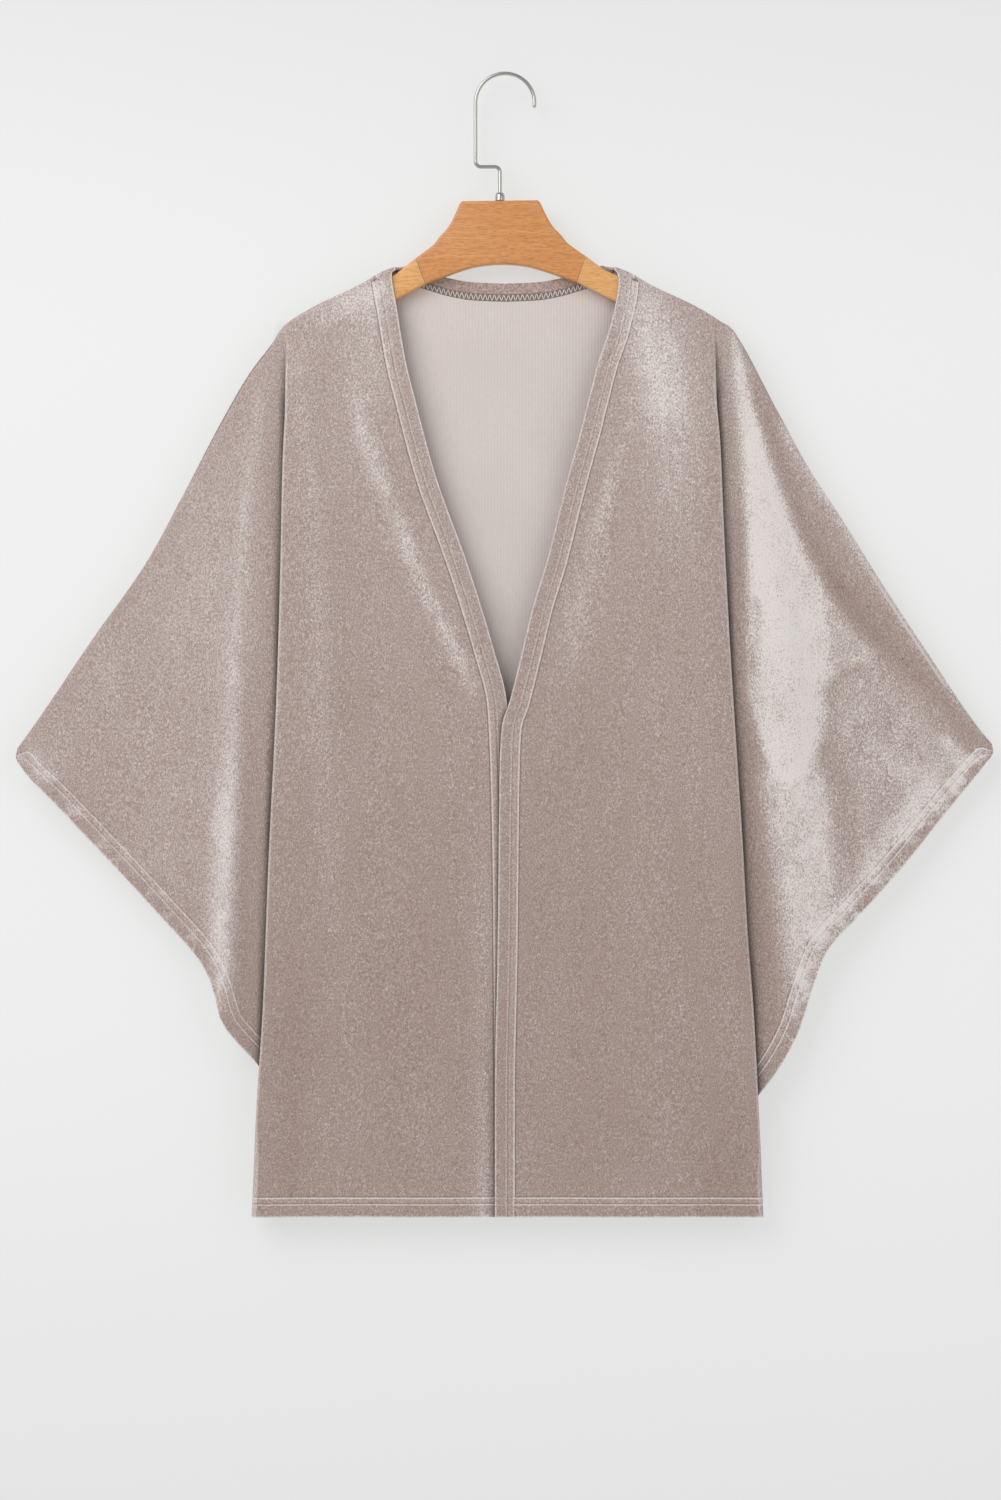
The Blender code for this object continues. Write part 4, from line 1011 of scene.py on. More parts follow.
@dataclass
class ClothPiece:
    """Makes one cloth piece from its upper and lower grid."""

    name: str
    wall: float = 0.0012
    hem_wall: float = 0.0024
    edge_rounding: float = 0.00045
    edge_segments: int = 2
    sharp_degrees: float = 60.0
    most_nap_sheen: float = 1.2

    def build(
        self,
        upper: ClothGrid,
        lower: ClothGrid,
        shared: tuple[slice, slice],
        turned: bool,
        nap: Marks,
        finishes: Sequence[bpy.types.Material],
    ) -> bpy.types.Object:
        """Build the mesh with its wall, its rounded edges and its attributes.

        Args:
            upper: The columns down to the underarm row.
            lower: The columns from the underarm row to the bottom hem.
            shared: The upper columns whose last row is the first of these lower columns.
            turned: Whether the faces are wound the other way.
            nap: Strokes of painted sheen and shade, where the pile lies light or dark.
            finishes: The materials of the outer and the inner face.

        Returns:
            The piece.
        """
        tall, wide = upper.places.shape[1], upper.places.shape[0]
        index_up = np.arange(wide * tall).reshape(wide, tall)
        index_low = wide * tall + np.arange(lower.edge.size).reshape(lower.edge.shape)
        keep, at = shared
        index_low[at, 0] = index_up[keep, -1]
        faces = []
        for index in (index_up, index_low):
            a, b, c, d = index[:-1, :-1], index[1:, :-1], index[1:, 1:], index[:-1, 1:]
            quads = np.stack((a, b, c, d), axis=-1).reshape(-1, 4)
            faces.append(quads[:, ::-1] if turned else quads)
        used, quads = np.unique(np.concatenate(faces), return_inverse=True)
        quads = quads.reshape(-1, 4)

        def flat(name: str) -> Array:
            """One value for each point that is used."""
            both = [getattr(grid, name) for grid in (upper, lower)]
            return np.concatenate([part.reshape(-1, *part.shape[2:]) for part in both])[used]

        places = flat("places")
        mesh = bpy.data.meshes.new(self.name)
        mesh.from_pydata(places.tolist(), [], quads.tolist())
        mesh.shade_smooth()
        piece = linked(self.name, mesh)
        edge, front, neck = flat("edge"), flat("front"), flat("neck")
        # Painted sheen and painted shade of the pile, kept on each point
        light = np.clip(field_of(nap, places[:, 0], places[:, 2]), -self.most_nap_sheen, self.most_nap_sheen)
        kept = {"edge": edge, "front_edge": front, "neck_edge": neck, "nap": light, "shade": flat("shade")}
        for key, values in kept.items():
            layer = mesh.attributes.new(key, "FLOAT", "POINT")
            layer.data.foreach_set("value", values.astype(np.float32))
        hems = piece.vertex_groups.new(name="hems")
        turned_edge = (edge <= TURNED_HEM.far) & ((edge < front) | (front <= FRONT_HEM.far))
        thick = turned_edge | (neck <= NECK_FALLS[-1])
        hems.add([int(i) for i in np.nonzero(thick)[0]], 1.0, "REPLACE")
        for finish in finishes:
            mesh.materials.append(finish)
        wall = piece.modifiers.new("wall", "SOLIDIFY")
        wall.thickness = self.hem_wall
        wall.offset = -1.0
        wall.use_even_offset = False
        wall.use_quality_normals = True
        wall.vertex_group = hems.name
        wall.thickness_vertex_group = self.wall / self.hem_wall
        wall.material_offset = 1
        rounding = piece.modifiers.new("edges", "BEVEL")
        rounding.width = self.edge_rounding
        rounding.segments = self.edge_segments
        rounding.limit_method = "ANGLE"
        rounding.angle_limit = math.radians(self.sharp_degrees)
        return piece


@dataclass
class Coat:
    """The coat's three cloth pieces and the lines along which they are sewn."""

    drape: Drape
    seams: dict[str, list[Array]] = field(default_factory=dict)
    neck_band: tuple[Array, ...] = ()
    near_row: int = -7
    far_row: int = -11
    roll_rows: int = 9
    side_rolls: int = 5
    neck_wall: float = 0.0029
    # Painted shadow on the right front beside the lapping left front's edge
    lap_shade: float = -0.50
    lap_shade_width: float = 0.0024
    lap_shade_top: float = -0.560
    lap_shade_growth: float = 0.060
    hem_fade: float = 4.0
    body_count: int = 34
    sleeve_count: int = 50
    back_neck_count: int = 20
    back_climb_count: int = 6
    back_shoulder_count: int = 22
    back_sleeve_count: int = 44

    def hem_lines(self, upper: ClothGrid, lower: ClothGrid, fold_end: int) -> list[Array]:
        """The lines of stitches beside the bottom hem and the sleeve's hem.

        Args:
            upper: The columns down to the underarm row, from the middle to the sleeve's tip.
            lower: The columns below it, which end with the wall to the side seam.
            fold_end: The first column of the sleeve's open face.

        Returns:
            The lines' points.
        """
        lines = []
        for row in (self.near_row, self.far_row):
            lines.append(lower.places[:-self.side_rolls, row])
            lines.append(upper.places[fold_end:, row])
        return lines

    def neck_line(self, uppers: Sequence[ClothGrid], distance: float) -> Array:
        """A line on the inner side of the back, a distance below the neck's turned edge."""
        row = int(np.argmin(abs(NECK_FALLS - distance)))
        halves = [grid.places[:self.back_neck_count, row] for grid in uppers]
        line = np.concatenate((halves[0][:0:-1], halves[1]))
        return line - np.array((0.0, self.neck_wall, 0.0))

    def front(self, half: Half, finishes: Sequence[bpy.types.Material]) -> bpy.types.Object:
        """One front with its half of the sleeve, cut in one piece."""
        drape = self.drape
        body = drape.front_body(half, self.body_count)
        fold = drape.fold_columns(half)
        sleeve = drape.sleeve_columns(half, Facing.FRONT, self.sleeve_count)
        side = drape.side_columns(half)
        body_front = [blend(d, FAR_FROM_HEM, min(1.0, s * self.hem_fade)) for _, _, d, s in body]
        up_columns = [column for column, _, _, _ in body] + fold + sleeve
        low_columns = [column for _, column, _, _ in body] + side
        grids = []
        for columns in (up_columns, low_columns):
            from_edge = body_front + [FAR_FROM_HEM] * (len(columns) - len(body))
            grids.append(ClothGrid.stacked(drape, half, Facing.FRONT, columns, from_edge, FRONT_FOLDS))
        upper, lower = grids
        shared = slice(0, len(body) + drape.fold.segments)
        name = f"velvet_front_{half.name}"
        # Painted shadow cast by the left front's edge onto the right front below the V
        if half is RIGHT:
            for grid in grids:
                x, z = grid.places[..., 0], grid.places[..., 2]
                beside = np.maximum(0.0, LEFT.front_edge.at(z) - x)
                lapped = eased((self.lap_shade_top - z) / self.lap_shade_growth)
                grid.shade += lapped * self.lap_shade * np.exp(-((beside / self.lap_shade_width) ** 2))
        lines = self.hem_lines(upper, lower, len(body) + 2 * drape.fold.segments)
        for index, (_, _, distance, share_across) in enumerate(body):
            if distance in (FRONT_HEM.near, FRONT_HEM.far) and share_across == 0.0:
                below_roll = upper.places[index, self.roll_rows:]
                lines.append(np.concatenate((below_roll, lower.places[index, 1:-1])))
        self.seams[name] = lines
        return ClothPiece(name).build(upper, lower, (shared, shared), half.sign > 0, FRONT_NAP_SHEEN, finishes)

    def back(self, finishes: Sequence[bpy.types.Material]) -> bpy.types.Object:
        """The back with the rear halves of both sleeves, cut in one piece."""
        drape = self.drape
        counts = (self.back_neck_count, self.back_climb_count, self.back_shoulder_count)
        uppers, lowers = [], []
        for half in (RIGHT, LEFT):
            body = drape.back_body(half, *counts)
            sleeve = drape.sleeve_columns(half, Facing.BACK, self.back_sleeve_count)
            up_columns = [pair[0] for pair in body] + drape.fold_columns(half) + sleeve
            low_columns = [pair[1] for pair in body] + drape.side_columns(half)
            for columns, grids in ((up_columns, uppers), (low_columns, lowers)):
                far = [FAR_FROM_HEM] * len(columns)
                grids.append(ClothGrid.stacked(drape, half, Facing.BACK, columns, far, BACK_FOLDS))
        fold_end = sum(counts) + 2 * drape.fold.segments
        self.seams["velvet_back"] = [
            line for up, low in zip(uppers, lowers) for line in self.hem_lines(up, low, fold_end)
        ]
        self.neck_band = tuple(self.neck_line(uppers, distance) for distance in NECK_SEWING)
        upper = uppers[0].mirrored().beside(uppers[1])
        lower = lowers[0].mirrored().beside(lowers[1])
        reach = sum(counts) + drape.fold.segments
        up_middle, low_middle = len(uppers[0].edge) - 1, len(lowers[0].edge) - 1
        keep = slice(up_middle - reach + 1, up_middle + reach)
        at = slice(low_middle - reach + 1, low_middle + reach)
        return ClothPiece("velvet_back").build(upper, lower, (keep, at), False, BACK_NAP_SHEEN, finishes)


Dashes = list[tuple[Array, Array]]


@dataclass
class Sewing:
    """Sewn thread: one short stitch for each dash of a line, made by Geometry Nodes."""

    pitch: float = 0.0029
    stitch_share: float = 0.72
    thread_radius: float = 0.00030
    looseness: float = 0.10
    seed: int = 7
    sides: int = 6
    rings: int = 4
    zigzag_pitch: float = 0.0022
    zigzag_radius: float = 0.00046

    def along(self, path: Array, pitch: float) -> Array:
        """Points at even steps along a path.

        Args:
            path: The path's corners.
            pitch: About how far apart the points lie.

        Returns:
            The points, the first and the last at the path's ends.
        """
        lengths = np.linalg.norm(np.diff(path, axis=0), axis=1)
        reached = np.concatenate(((0.0,), np.cumsum(lengths)))
        count = max(2, int(reached[-1] / pitch))
        steps = np.linspace(0.0, reached[-1], count)
        return np.stack([np.interp(steps, reached, path[:, axis]) for axis in range(3)], axis=1)

    def run(self, path: Array) -> Dashes:
        """The dashes of one line of stitches."""
        points = self.along(path, self.pitch)
        return list(zip(points, points[1:]))

    def zigzag(self, upper: Array, lower: Array) -> Dashes:
        """The legs of a zigzag between two paths of the same direction."""
        rails = self.along(upper, self.zigzag_pitch), self.along(lower, self.zigzag_pitch)
        count = min(len(rail) for rail in rails)
        corners = [rails[index % 2][index] for index in range(count)]
        return list(zip(corners, corners[1:]))

    def tree(self, finish: bpy.types.Material) -> bpy.types.NodeTree:
        """A tree that puts a rounded stitch on every edge of the mesh that it is given."""
        tree = bpy.data.node_groups.new("stitches", "GeometryNodeTree")
        tree.interface.new_socket(name="Geometry", in_out="OUTPUT", socket_type="NodeSocketGeometry")
        tree.interface.new_socket(name="Geometry", in_out="INPUT", socket_type="NodeSocketGeometry")
        for name in ("Thread radius", "Stitch share", "Looseness"):
            tree.interface.new_socket(name=name, in_out="INPUT", socket_type="NodeSocketFloat")
        tree.interface.new_socket(name="Seed", in_out="INPUT", socket_type="NodeSocketInt")

        def add(kind: str, links: dict[Union[int, str], object], **settings: object) -> bpy.types.Node:
            """One node, with its settings and its inputs."""
            made = tree.nodes.new(kind)
            for key, value in settings.items():
                setattr(made, key, value)
            for key, value in links.items():
                if isinstance(value, bpy.types.NodeSocket):
                    tree.links.new(value, made.inputs[key])
                else:
                    made.inputs[key].default_value = value
            return made

        given = add("NodeGroupInput", {}).outputs
        ends = add("GeometryNodeInputMeshEdgeVertices", {}).outputs
        run = add(
            "ShaderNodeVectorMath", {0: ends["Position 2"], 1: ends["Position 1"]}, operation="SUBTRACT"
        )
        kept = tree.nodes.new("GeometryNodeCaptureAttribute")
        kept.domain = "EDGE"
        kept.capture_items.new("VECTOR", "Run")
        tree.links.new(given["Geometry"], kept.inputs["Geometry"])
        tree.links.new(run.outputs[0], kept.inputs["Run"])
        middles = add("GeometryNodeMeshToPoints", {"Mesh": kept.outputs["Geometry"]}, mode="EDGES")
        turned = add("FunctionNodeAlignRotationToVector", {"Vector": kept.outputs["Run"]}, axis="Z")
        length = add("ShaderNodeVectorMath", {0: kept.outputs["Run"]}, operation="LENGTH")
        least = add("ShaderNodeMath", {0: 1.0, 1: given["Looseness"]}, operation="SUBTRACT")
        chance = add("FunctionNodeRandomValue", {"Seed": given["Seed"]}, data_type="FLOAT")
        low, high = (socket for socket in chance.inputs if socket.enabled and socket.name in ("Min", "Max"))
        tree.links.new(least.outputs[0], low)
        high.default_value = 1.0
        drawn = next(socket for socket in chance.outputs if socket.enabled)
        half = length.outputs["Value"]
        for factor in (given["Stitch share"], 0.5, drawn):
            half = add("ShaderNodeMath", {0: half, 1: factor}, operation="MULTIPLY").outputs[0]
        size = add(
            "ShaderNodeCombineXYZ",
            {"X": given["Thread radius"], "Y": given["Thread radius"], "Z": half},
        )
        ball = {"Segments": self.sides, "Rings": self.rings, "Radius": 1.0}
        stitch = add("GeometryNodeMeshUVSphere", ball)
        placed = add("GeometryNodeInstanceOnPoints", {
            "Points": middles.outputs[0],
            "Instance": stitch.outputs["Mesh"],
            "Rotation": turned.outputs[0],
            "Scale": size.outputs[0],
        })
        real = add("GeometryNodeRealizeInstances", {"Geometry": placed.outputs[0]})
        painted = add("GeometryNodeSetMaterial", {"Geometry": real.outputs[0], "Material": finish})
        add("NodeGroupOutput", {"Geometry": painted.outputs[0]})
        return tree

    def piece(
        self, name: str, dashes: Dashes, finish: bpy.types.Material, share: float, radius: float
    ) -> bpy.types.Object:
        """Sew one piece's stitches.

        Args:
            name: The new piece's name.
            dashes: Start and end of each stitch.
            finish: The thread's material.
            share: How much of its dash a stitch fills.
            radius: The thread's radius.

        Returns:
            The stitches as one plain mesh.
        """
        points = [tuple(point) for dash in dashes for point in dash]
        guide = bpy.data.meshes.new(f"{name}_guide")
        guide.from_pydata(points, [(2 * i, 2 * i + 1) for i in range(len(dashes))], [])
        carrier = linked(f"{name}_guide", guide)
        tree = self.tree(finish)
        sewn = carrier.modifiers.new("stitches", "NODES")
        sewn.node_group = tree
        sizes = {"Thread radius": radius, "Stitch share": share}
        sizes |= {"Looseness": self.looseness, "Seed": self.seed}
        for item in tree.interface.items_tree:
            if item.in_out == "INPUT" and item.name in sizes:
                sewn[item.identifier] = sizes[item.name]
        graph = bpy.context.evaluated_depsgraph_get()
        mesh = bpy.data.meshes.new_from_object(carrier.evaluated_get(graph))
        carrier.modifiers.remove(sewn)
        bpy.data.objects.remove(carrier)
        mesh.name = name
        mesh.shade_smooth()
        return linked(name, mesh)

    def lines(self, name: str, lines: Sequence[Array], finish: bpy.types.Material) -> bpy.types.Object:
        """Sew plain lines of stitches."""
        dashes = [dash for line in lines for dash in self.run(line)]
        return self.piece(name, dashes, finish, self.stitch_share, self.thread_radius)


def operator(operation: str, reflected: bool = False) -> Callable[["Expression", "Value"], "Expression"]:
    """A Python operator that adds one Math node, or its reflected form."""

    def apply(own: "Expression", other: "Value") -> "Expression":
        """Put both values into the node, in their order."""
        return own.math(operation, *((other, own) if reflected else (own, other)))

    return apply


class Expression:
    """A shader socket that takes part in Python expressions."""

    def __init__(self, maker: "NodeMaker", socket: bpy.types.NodeSocket) -> None:
        """Wrap one output socket."""
        self.maker = maker
        self.socket = socket

    def math(self, operation: str, *values: "Value") -> "Expression":
        """One Math node."""
        return self.maker.node("ShaderNodeMath", {"operation": operation}, values)

    __add__, __radd__ = operator("ADD"), operator("ADD", True)
    __sub__, __rsub__ = operator("SUBTRACT"), operator("SUBTRACT", True)
    __mul__, __rmul__ = operator("MULTIPLY"), operator("MULTIPLY", True)
    largest = operator("MAXIMUM")
    smallest = operator("MINIMUM")

    def __abs__(self) -> "Expression":
        """Size without its sign."""
        return self.math("ABSOLUTE", self)

    def sine(self) -> "Expression":
        """Sine of an angle."""
        return self.math("SINE", self)

    def clamped(self) -> "Expression":
        """Held between 0 and 1."""
        return self.maker.node("ShaderNodeClamp", {}, (self, 0.0, 1.0))

    def stepped(self, start: float, end: float) -> "Expression":
        """A smooth step from 0 at start to 1 at end; end may be below start."""
        settings = {"interpolation_type": "SMOOTHSTEP"}
        if start < end:
            return self.maker.node("ShaderNodeMapRange", settings, (self, start, end, 0.0, 1.0))
        return self.maker.node("ShaderNodeMapRange", settings, (self, end, start, 1.0, 0.0))


Value = Union[Expression, float, int, tuple]


@dataclass(frozen=True)
class Noise:
    """One kind of noise; a squeeze below 1 draws it out along that axis."""

    squeeze: Place
    scale: float
    detail: float
    roughness: float


class NodeMaker:
    """Adds nodes to one material and links them."""

    def __init__(self, name: str) -> None:
        """Start a material with only its Principled shader and output."""
        self.material = bpy.data.materials.new(name)
        self.material.use_nodes = True
        self.tree = self.material.node_tree
        self.shader = self.tree.nodes["Principled BSDF"]

    def node(
        self,
        kind: str,
        settings: Optional[dict[str, object]] = None,
        values: Union[Sequence[Value], dict[str, Value]] = (),
        output: Union[int, str] = 0,
    ) -> Expression:
        """Add one node.

        Args:
            kind: The node's type.
            settings: Its properties, which are set first; "stops" are a ramp's.
            values: Its inputs, in order or by name, as numbers or links.
            output: Which output to read.

        Returns:
            The chosen output.
        """
        made = self.tree.nodes.new(kind)
        for key, value in (settings or {}).items():
            if key == "stops":
                self.set_stops(made.color_ramp, value)
            else:
                setattr(made, key, value)
        pairs = values.items() if isinstance(values, dict) else enumerate(values)
        for key, value in pairs:
            self.feed(made.inputs[key], value)
        return Expression(self, made.outputs[output])

    def set_stops(self, ramp: bpy.types.ColorRamp, stops: Sequence[tuple[float, Rgb]]) -> None:
        """Give a ramp its stops."""
        while len(ramp.elements) < len(stops):
            ramp.elements.new(0.5)
        for element, (position, colour) in zip(ramp.elements, stops):
            element.position = position
            element.color = (*colour, 1.0)

    def feed(self, socket: bpy.types.NodeSocket, value: Value) -> None:
        """Link a socket or set its number."""
        if isinstance(value, Expression):
            self.tree.links.new(value.socket, socket)
        elif isinstance(value, tuple) and len(value) == 3 and len(socket.default_value) == 4:
            socket.default_value = (*value, 1.0)
        else:
            socket.default_value = value

    def set(self, **sockets: Value) -> None:
        """Feed the Principled shader; underscores stand for spaces in the names."""
        for name, value in sockets.items():
            self.feed(self.shader.inputs[name.replace("_", " ")], value)

    def coordinates(self, scale: Place = (1, 1, 1), turn: Place = (0, 0, 0)) -> Expression:
        """Object coordinates, turned and stretched."""
        place = self.node("ShaderNodeTexCoord", output="Object")
        return self.node("ShaderNodeMapping", {}, {"Vector": place, "Rotation": turn, "Scale": scale})

    def axis(self, name: str) -> Expression:
        """One of the object coordinates."""
        return self.node("ShaderNodeSeparateXYZ", {}, (self.coordinates(),), name)

    def attribute(self, name: str) -> Expression:
        """A value kept on the piece's points."""
        return self.node("ShaderNodeAttribute", {"attribute_name": name}, output="Fac")

    def noise(self, kind: Noise, turn: Place = (0, 0, 0)) -> Expression:
        """Noise between about 0 and 1."""
        return self.node("ShaderNodeTexNoise", {}, {
            "Vector": self.coordinates(kind.squeeze, turn),
            "Scale": kind.scale,
            "Detail": kind.detail,
            "Roughness": kind.roughness,
        })

    def mottle(self, kind: Noise) -> Expression:
        """Noise around 0."""
        return self.noise(kind) - 0.5

    def mix(self, share: Value, start: Value, end: Value) -> Expression:
        """Mix two colours."""
        return self.node("ShaderNodeMix", {"data_type": "RGBA"}, {0: share, 6: start, 7: end}, 2)

    def bump(
        self, height: Expression, distance: float, strength: float, below: Optional[Expression] = None
    ) -> Expression:
        """A Bump node, on top of another one where that is given."""
        values = {"Height": height, "Distance": distance, "Strength": strength}
        if below is not None:
            values["Normal"] = below
        return self.node("ShaderNodeBump", {}, values)


@dataclass(frozen=True)
class VelvetFinish:
    """Short pile with fine grain, painted with sheen where it leans to the light and with shade where it
    leans away.
    """

    name: str = "velvet_pile"
    # Near-black colour of the painted shadow beside the folds and the lap
    shadow: Rgb = linear(58, 48, 44)
    dark: Rgb = linear(128, 108, 100)
    middle: Rgb = linear(166, 146, 138)
    light: Rgb = linear(226, 219, 216)
    grain: float = 1.05
    patchiness: float = 0.62
    calm: float = 0.45
    blotches: float = 1.7
    calm_side: tuple[float, float] = (-0.222, -0.240)
    sleeve_side: tuple[float, float] = (0.245, 0.285)
    hem_side: tuple[float, float] = (0.030, 0.012)
    line_width: float = 0.0010
    line_core: float = 0.0001
    # Lift of the band between the lines of stitching, and painted shade in the groove beside each line
    raised: float = 0.05
    sunk: float = 0.15
    fine: Noise = Noise((1.0, 1.0, 0.62), 780.0, 2.0, 0.55)
    speck: Noise = Noise((1.0, 1.0, 1.0), 1500.0, 1.0, 0.5)
    patch: Noise = Noise((1.0, 1.0, 0.6), 110.0, 3.0, 0.65)
    cloud: Noise = Noise((1.0, 1.0, 0.4), 13.0, 3.0, 0.55)
    blotch: Noise = Noise((1.0, 1.0, 0.55), 34.0, 3.0, 0.6)
    rumple: Noise = Noise((1.0, 1.0, 1.0), 62.0, 2.0, 0.6)
    drag: Noise = Noise((1.0, 1.0, 1.0), 70.0, 1.0, 0.5)
    crease: Noise = Noise((1.0, 1.0, 0.30), 9.0, 2.0, 0.5)

    def hem(self, distance: Expression, lines: Hem, outer: float, inner: float) -> Expression:
        """Painted highlights and painted shade along a turned hem's lines of stitching, as a change of
        level.

        Args:
            distance: The distance from the hem's edge.
            lines: The hem.
            outer: How much painted highlight its outer line of stitches gets.
            inner: How much painted highlight its inner line gets.

        Returns:
            A change of level, with painted shade below 0 just inside of each line.
        """
        inside = distance.stepped(lines.near, lines.near + self.line_width)
        total = inside * distance.stepped(lines.far, lines.far - self.line_width) * self.raised
        for at, lift in ((lines.near, outer), (lines.far, inner)):
            beside = at + self.line_width * 1.5
            for middle, change in ((at, lift), (beside, -self.sunk)):
                total = total + abs(distance - middle).stepped(self.line_width, self.line_core) * change
        return total

    def build(self) -> bpy.types.Material:
        """Make the material."""
        make = NodeMaker(self.name)
        # The nap attribute carries painted sheen and painted shade where the pile lies to or from the light
        nap = make.attribute("nap")
        fine, speck, patch, cloud, blotch, rumple = (
            make.mottle(kind)
            for kind in (self.fine, self.speck, self.patch, self.cloud, self.blotch, self.rumple)
        )
        across = make.axis("X")
        calmed = 1 - self.calm * across.stepped(*self.calm_side)
        grain = patch * self.patchiness + (fine * 1.45 + speck * 0.7) * self.grain
        pile = nap + cloud * 0.20 + grain * calmed + blotch * abs(nap) * self.blotches
        edge = make.attribute("edge")
        # Painted sheen and shade in mottled patches along the sleeves' hems, where the puckered hems catch
        # the light and lose it
        at_hem = abs(across).stepped(*self.sleeve_side) * edge.stepped(*self.hem_side)
        pile = pile + (0.30 + rumple * 3.2) * at_hem * calmed
        lit = pile.stepped(0.05, 1.15)
        unlit = pile.stepped(-0.05, -1.10)
        # Painted light: the pile is painted lighter towards the top, as light falling from above
        lit_from_above = make.axis("Z").stepped(-0.95, -0.15)
        level = 0.415 + 0.16 * nap + 0.36 * lit - 0.12 * unlit + fine * self.grain * 0.62
        level = level + speck * self.grain * 0.80 + cloud * 0.10 + lit_from_above * 0.08
        front = make.attribute("front_edge")
        clear_of_front = front.stepped(FRONT_HEM.far, FRONT_HEM.far + self.line_width)
        # Painted highlight on each line of stitching and painted shade in the groove beside it
        seam = self.hem(edge, TURNED_HEM, 0.34, 0.48) * clear_of_front
        seam = seam + self.hem(front, FRONT_HEM, 0.08, 0.24)
        # Painted highlight along the turned edges, where the pile rolls over
        edge_highlight = edge.stepped(0.0020, 0.0003)
        # Where the shade attribute is above 0 it is a painted highlight on the fold crests; below 0 it is
        # painted shadow
        shade = make.attribute("shade")
        level = level + edge_highlight * 0.32 + seam * calmed + shade.largest(0.0) * 0.60
        colour = make.node(
            "ShaderNodeValToRGB",
            {"stops": ((0.05, self.dark), (0.42, self.middle), (0.92, self.light))},
            (level.clamped(),),
        )
        # Painted shadow beside the folds and the lap, mixed towards the near-black shadow colour
        shadow_share = (shade * -1.25).clamped()
        colour = make.mix(shadow_share, colour, self.shadow)
        make.set(Base_Color=colour, Roughness=0.85 - 0.20 * lit)
        pushed = make.bump(fine + speck * 0.6, 0.00040, 0.60)
        drag = make.noise(self.drag) * edge.stepped(0.032, 0.012)
        creases = make.noise(self.crease)
        make.set(Normal=make.bump(drag + creases * 1.6, 0.0020, 0.55, pushed))
        make.set(Specular_IOR_Level=0.20)
        make.set(Sheen_Weight=0.35, Sheen_Roughness=0.35, Sheen_Tint=(0.95, 0.90, 0.88))
        return make.material


@dataclass(frozen=True)
class KnitFinish:
    """The smooth knitted inside of the velvet, paler, with fine upright ribs."""

    name: str = "knit_inside"
    dark: Rgb = linear(196, 184, 179)
    light: Rgb = linear(228, 218, 214)
    velvet: Rgb = linear(168, 148, 140)
    rib_width: float = 0.0030
    turned_soft: float = 0.0003
    neck_soft: float = 0.0006
    fine: Noise = Noise((1.0, 1.0, 0.3), 700.0, 2.0, 0.6)
    cloud: Noise = Noise((1.0, 1.0, 1.0), 9.0, 2.0, 0.5)
    speck: Noise = Noise((1.0, 1.0, 1.0), 780.0, 2.0, 0.6)

    def build(self) -> bpy.types.Material:
        """Make the material."""
        make = NodeMaker(self.name)
        ribs = (make.axis("X") * (2 * math.pi / self.rib_width)).sine() * 0.5 + 0.5
        fine = make.noise(self.fine)
        level = 0.46 + (ribs - 0.5) * 0.10 + (fine - 0.5) * 0.45 + make.mottle(self.cloud) * 0.45
        knit = make.mix(level.clamped(), self.dark, self.light)
        below = make.attribute("neck_edge")
        top, bottom = NECK_SEWING
        neck = below.stepped(bottom + self.neck_soft, bottom)
        band = neck * below.stepped(top - self.neck_soft, top)
        line, soft = TURNED_HEM.far, self.turned_soft
        turned = make.attribute("edge").stepped(line + soft, line - soft)
        speck = make.noise(self.speck).stepped(0.36, 0.64)
        pile = make.mix(speck, tinted(self.velvet, 0.72), tinted(self.velvet, 1.35))
        # The band between the neck's lines of stitching is painted darker, as painted shade under the
        # hanger
        pile = make.mix(band * 0.85, pile, tinted(self.velvet, 0.50))
        make.set(Base_Color=make.mix(neck.largest(turned), knit, pile), Roughness=0.75)
        make.set(Normal=make.bump(ribs + fine * 0.6, 0.0002, 0.4))
        make.set(Specular_IOR_Level=0.3, Sheen_Weight=0.2, Sheen_Roughness=0.4)
        return make.material


@dataclass(frozen=True)
class WoodFinish:
    """Varnished beech, with grain along the piece and short dark flecks."""

    name: str
    turn: float
    dark: Rgb
    light: Rgb
    grain: Noise = Noise((1.0, 12.0, 14.0), 16.0, 4.0, 0.6)
    streak: Noise = Noise((1.0, 30.0, 40.0), 22.0, 3.0, 0.6)
    fleck: Noise = Noise((1.0, 8.0, 10.0), 165.0, 1.0, 0.4)

    def build(self) -> bpy.types.Material:
        """Make the material."""
        make = NodeMaker(self.name)
        turn = (0.0, self.turn, 0.0)
        grain, streak, fleck = (make.noise(kind, turn) for kind in (self.grain, self.streak, self.fleck))
        colour = make.mix((grain * 0.9 + streak * 0.5 - 0.2).clamped(), self.dark, self.light)
        colour = make.mix(fleck.stepped(0.51, 0.62) * 0.40, colour, tinted(self.dark, 0.55))
        make.set(Base_Color=colour, Roughness=0.36 + streak * 0.12)
        make.set(Normal=make.bump(streak + grain, 0.00012, 0.35))
        make.set(Coat_Weight=0.35, Coat_Roughness=0.25, Coat_IOR=1.5, Specular_IOR_Level=0.5)
        return make.material


@dataclass(frozen=True)
class MetalFinish:
    """Bright nickel plate with faint drawing marks."""

    name: str = "nickel_plate"
    colour: Rgb = (0.50, 0.48, 0.45)
    drawn: Noise = Noise((1.0, 1.0, 1.0), 320.0, 2.0, 0.5)

    def build(self) -> bpy.types.Material:
        """Make the material."""
        make = NodeMaker(self.name)
        marks = make.noise(self.drawn)
        make.set(Base_Color=make.mix(marks, tinted(self.colour, 0.86), self.colour))
        make.set(Metallic=1.0, Roughness=0.14 + marks * 0.12)
        return make.material


@dataclass(frozen=True)
class ThreadFinish:
    """Spun thread."""

    name: str
    colour: Rgb
    twist: Noise = Noise((1.0, 1.0, 1.0), 2600.0, 1.0, 0.5)

    def build(self) -> bpy.types.Material:
        """Make the material."""
        make = NodeMaker(self.name)
        twist = make.mix(make.noise(self.twist), tinted(self.colour, 0.75), self.colour)
        make.set(Base_Color=twist, Roughness=0.6)
        return make.material


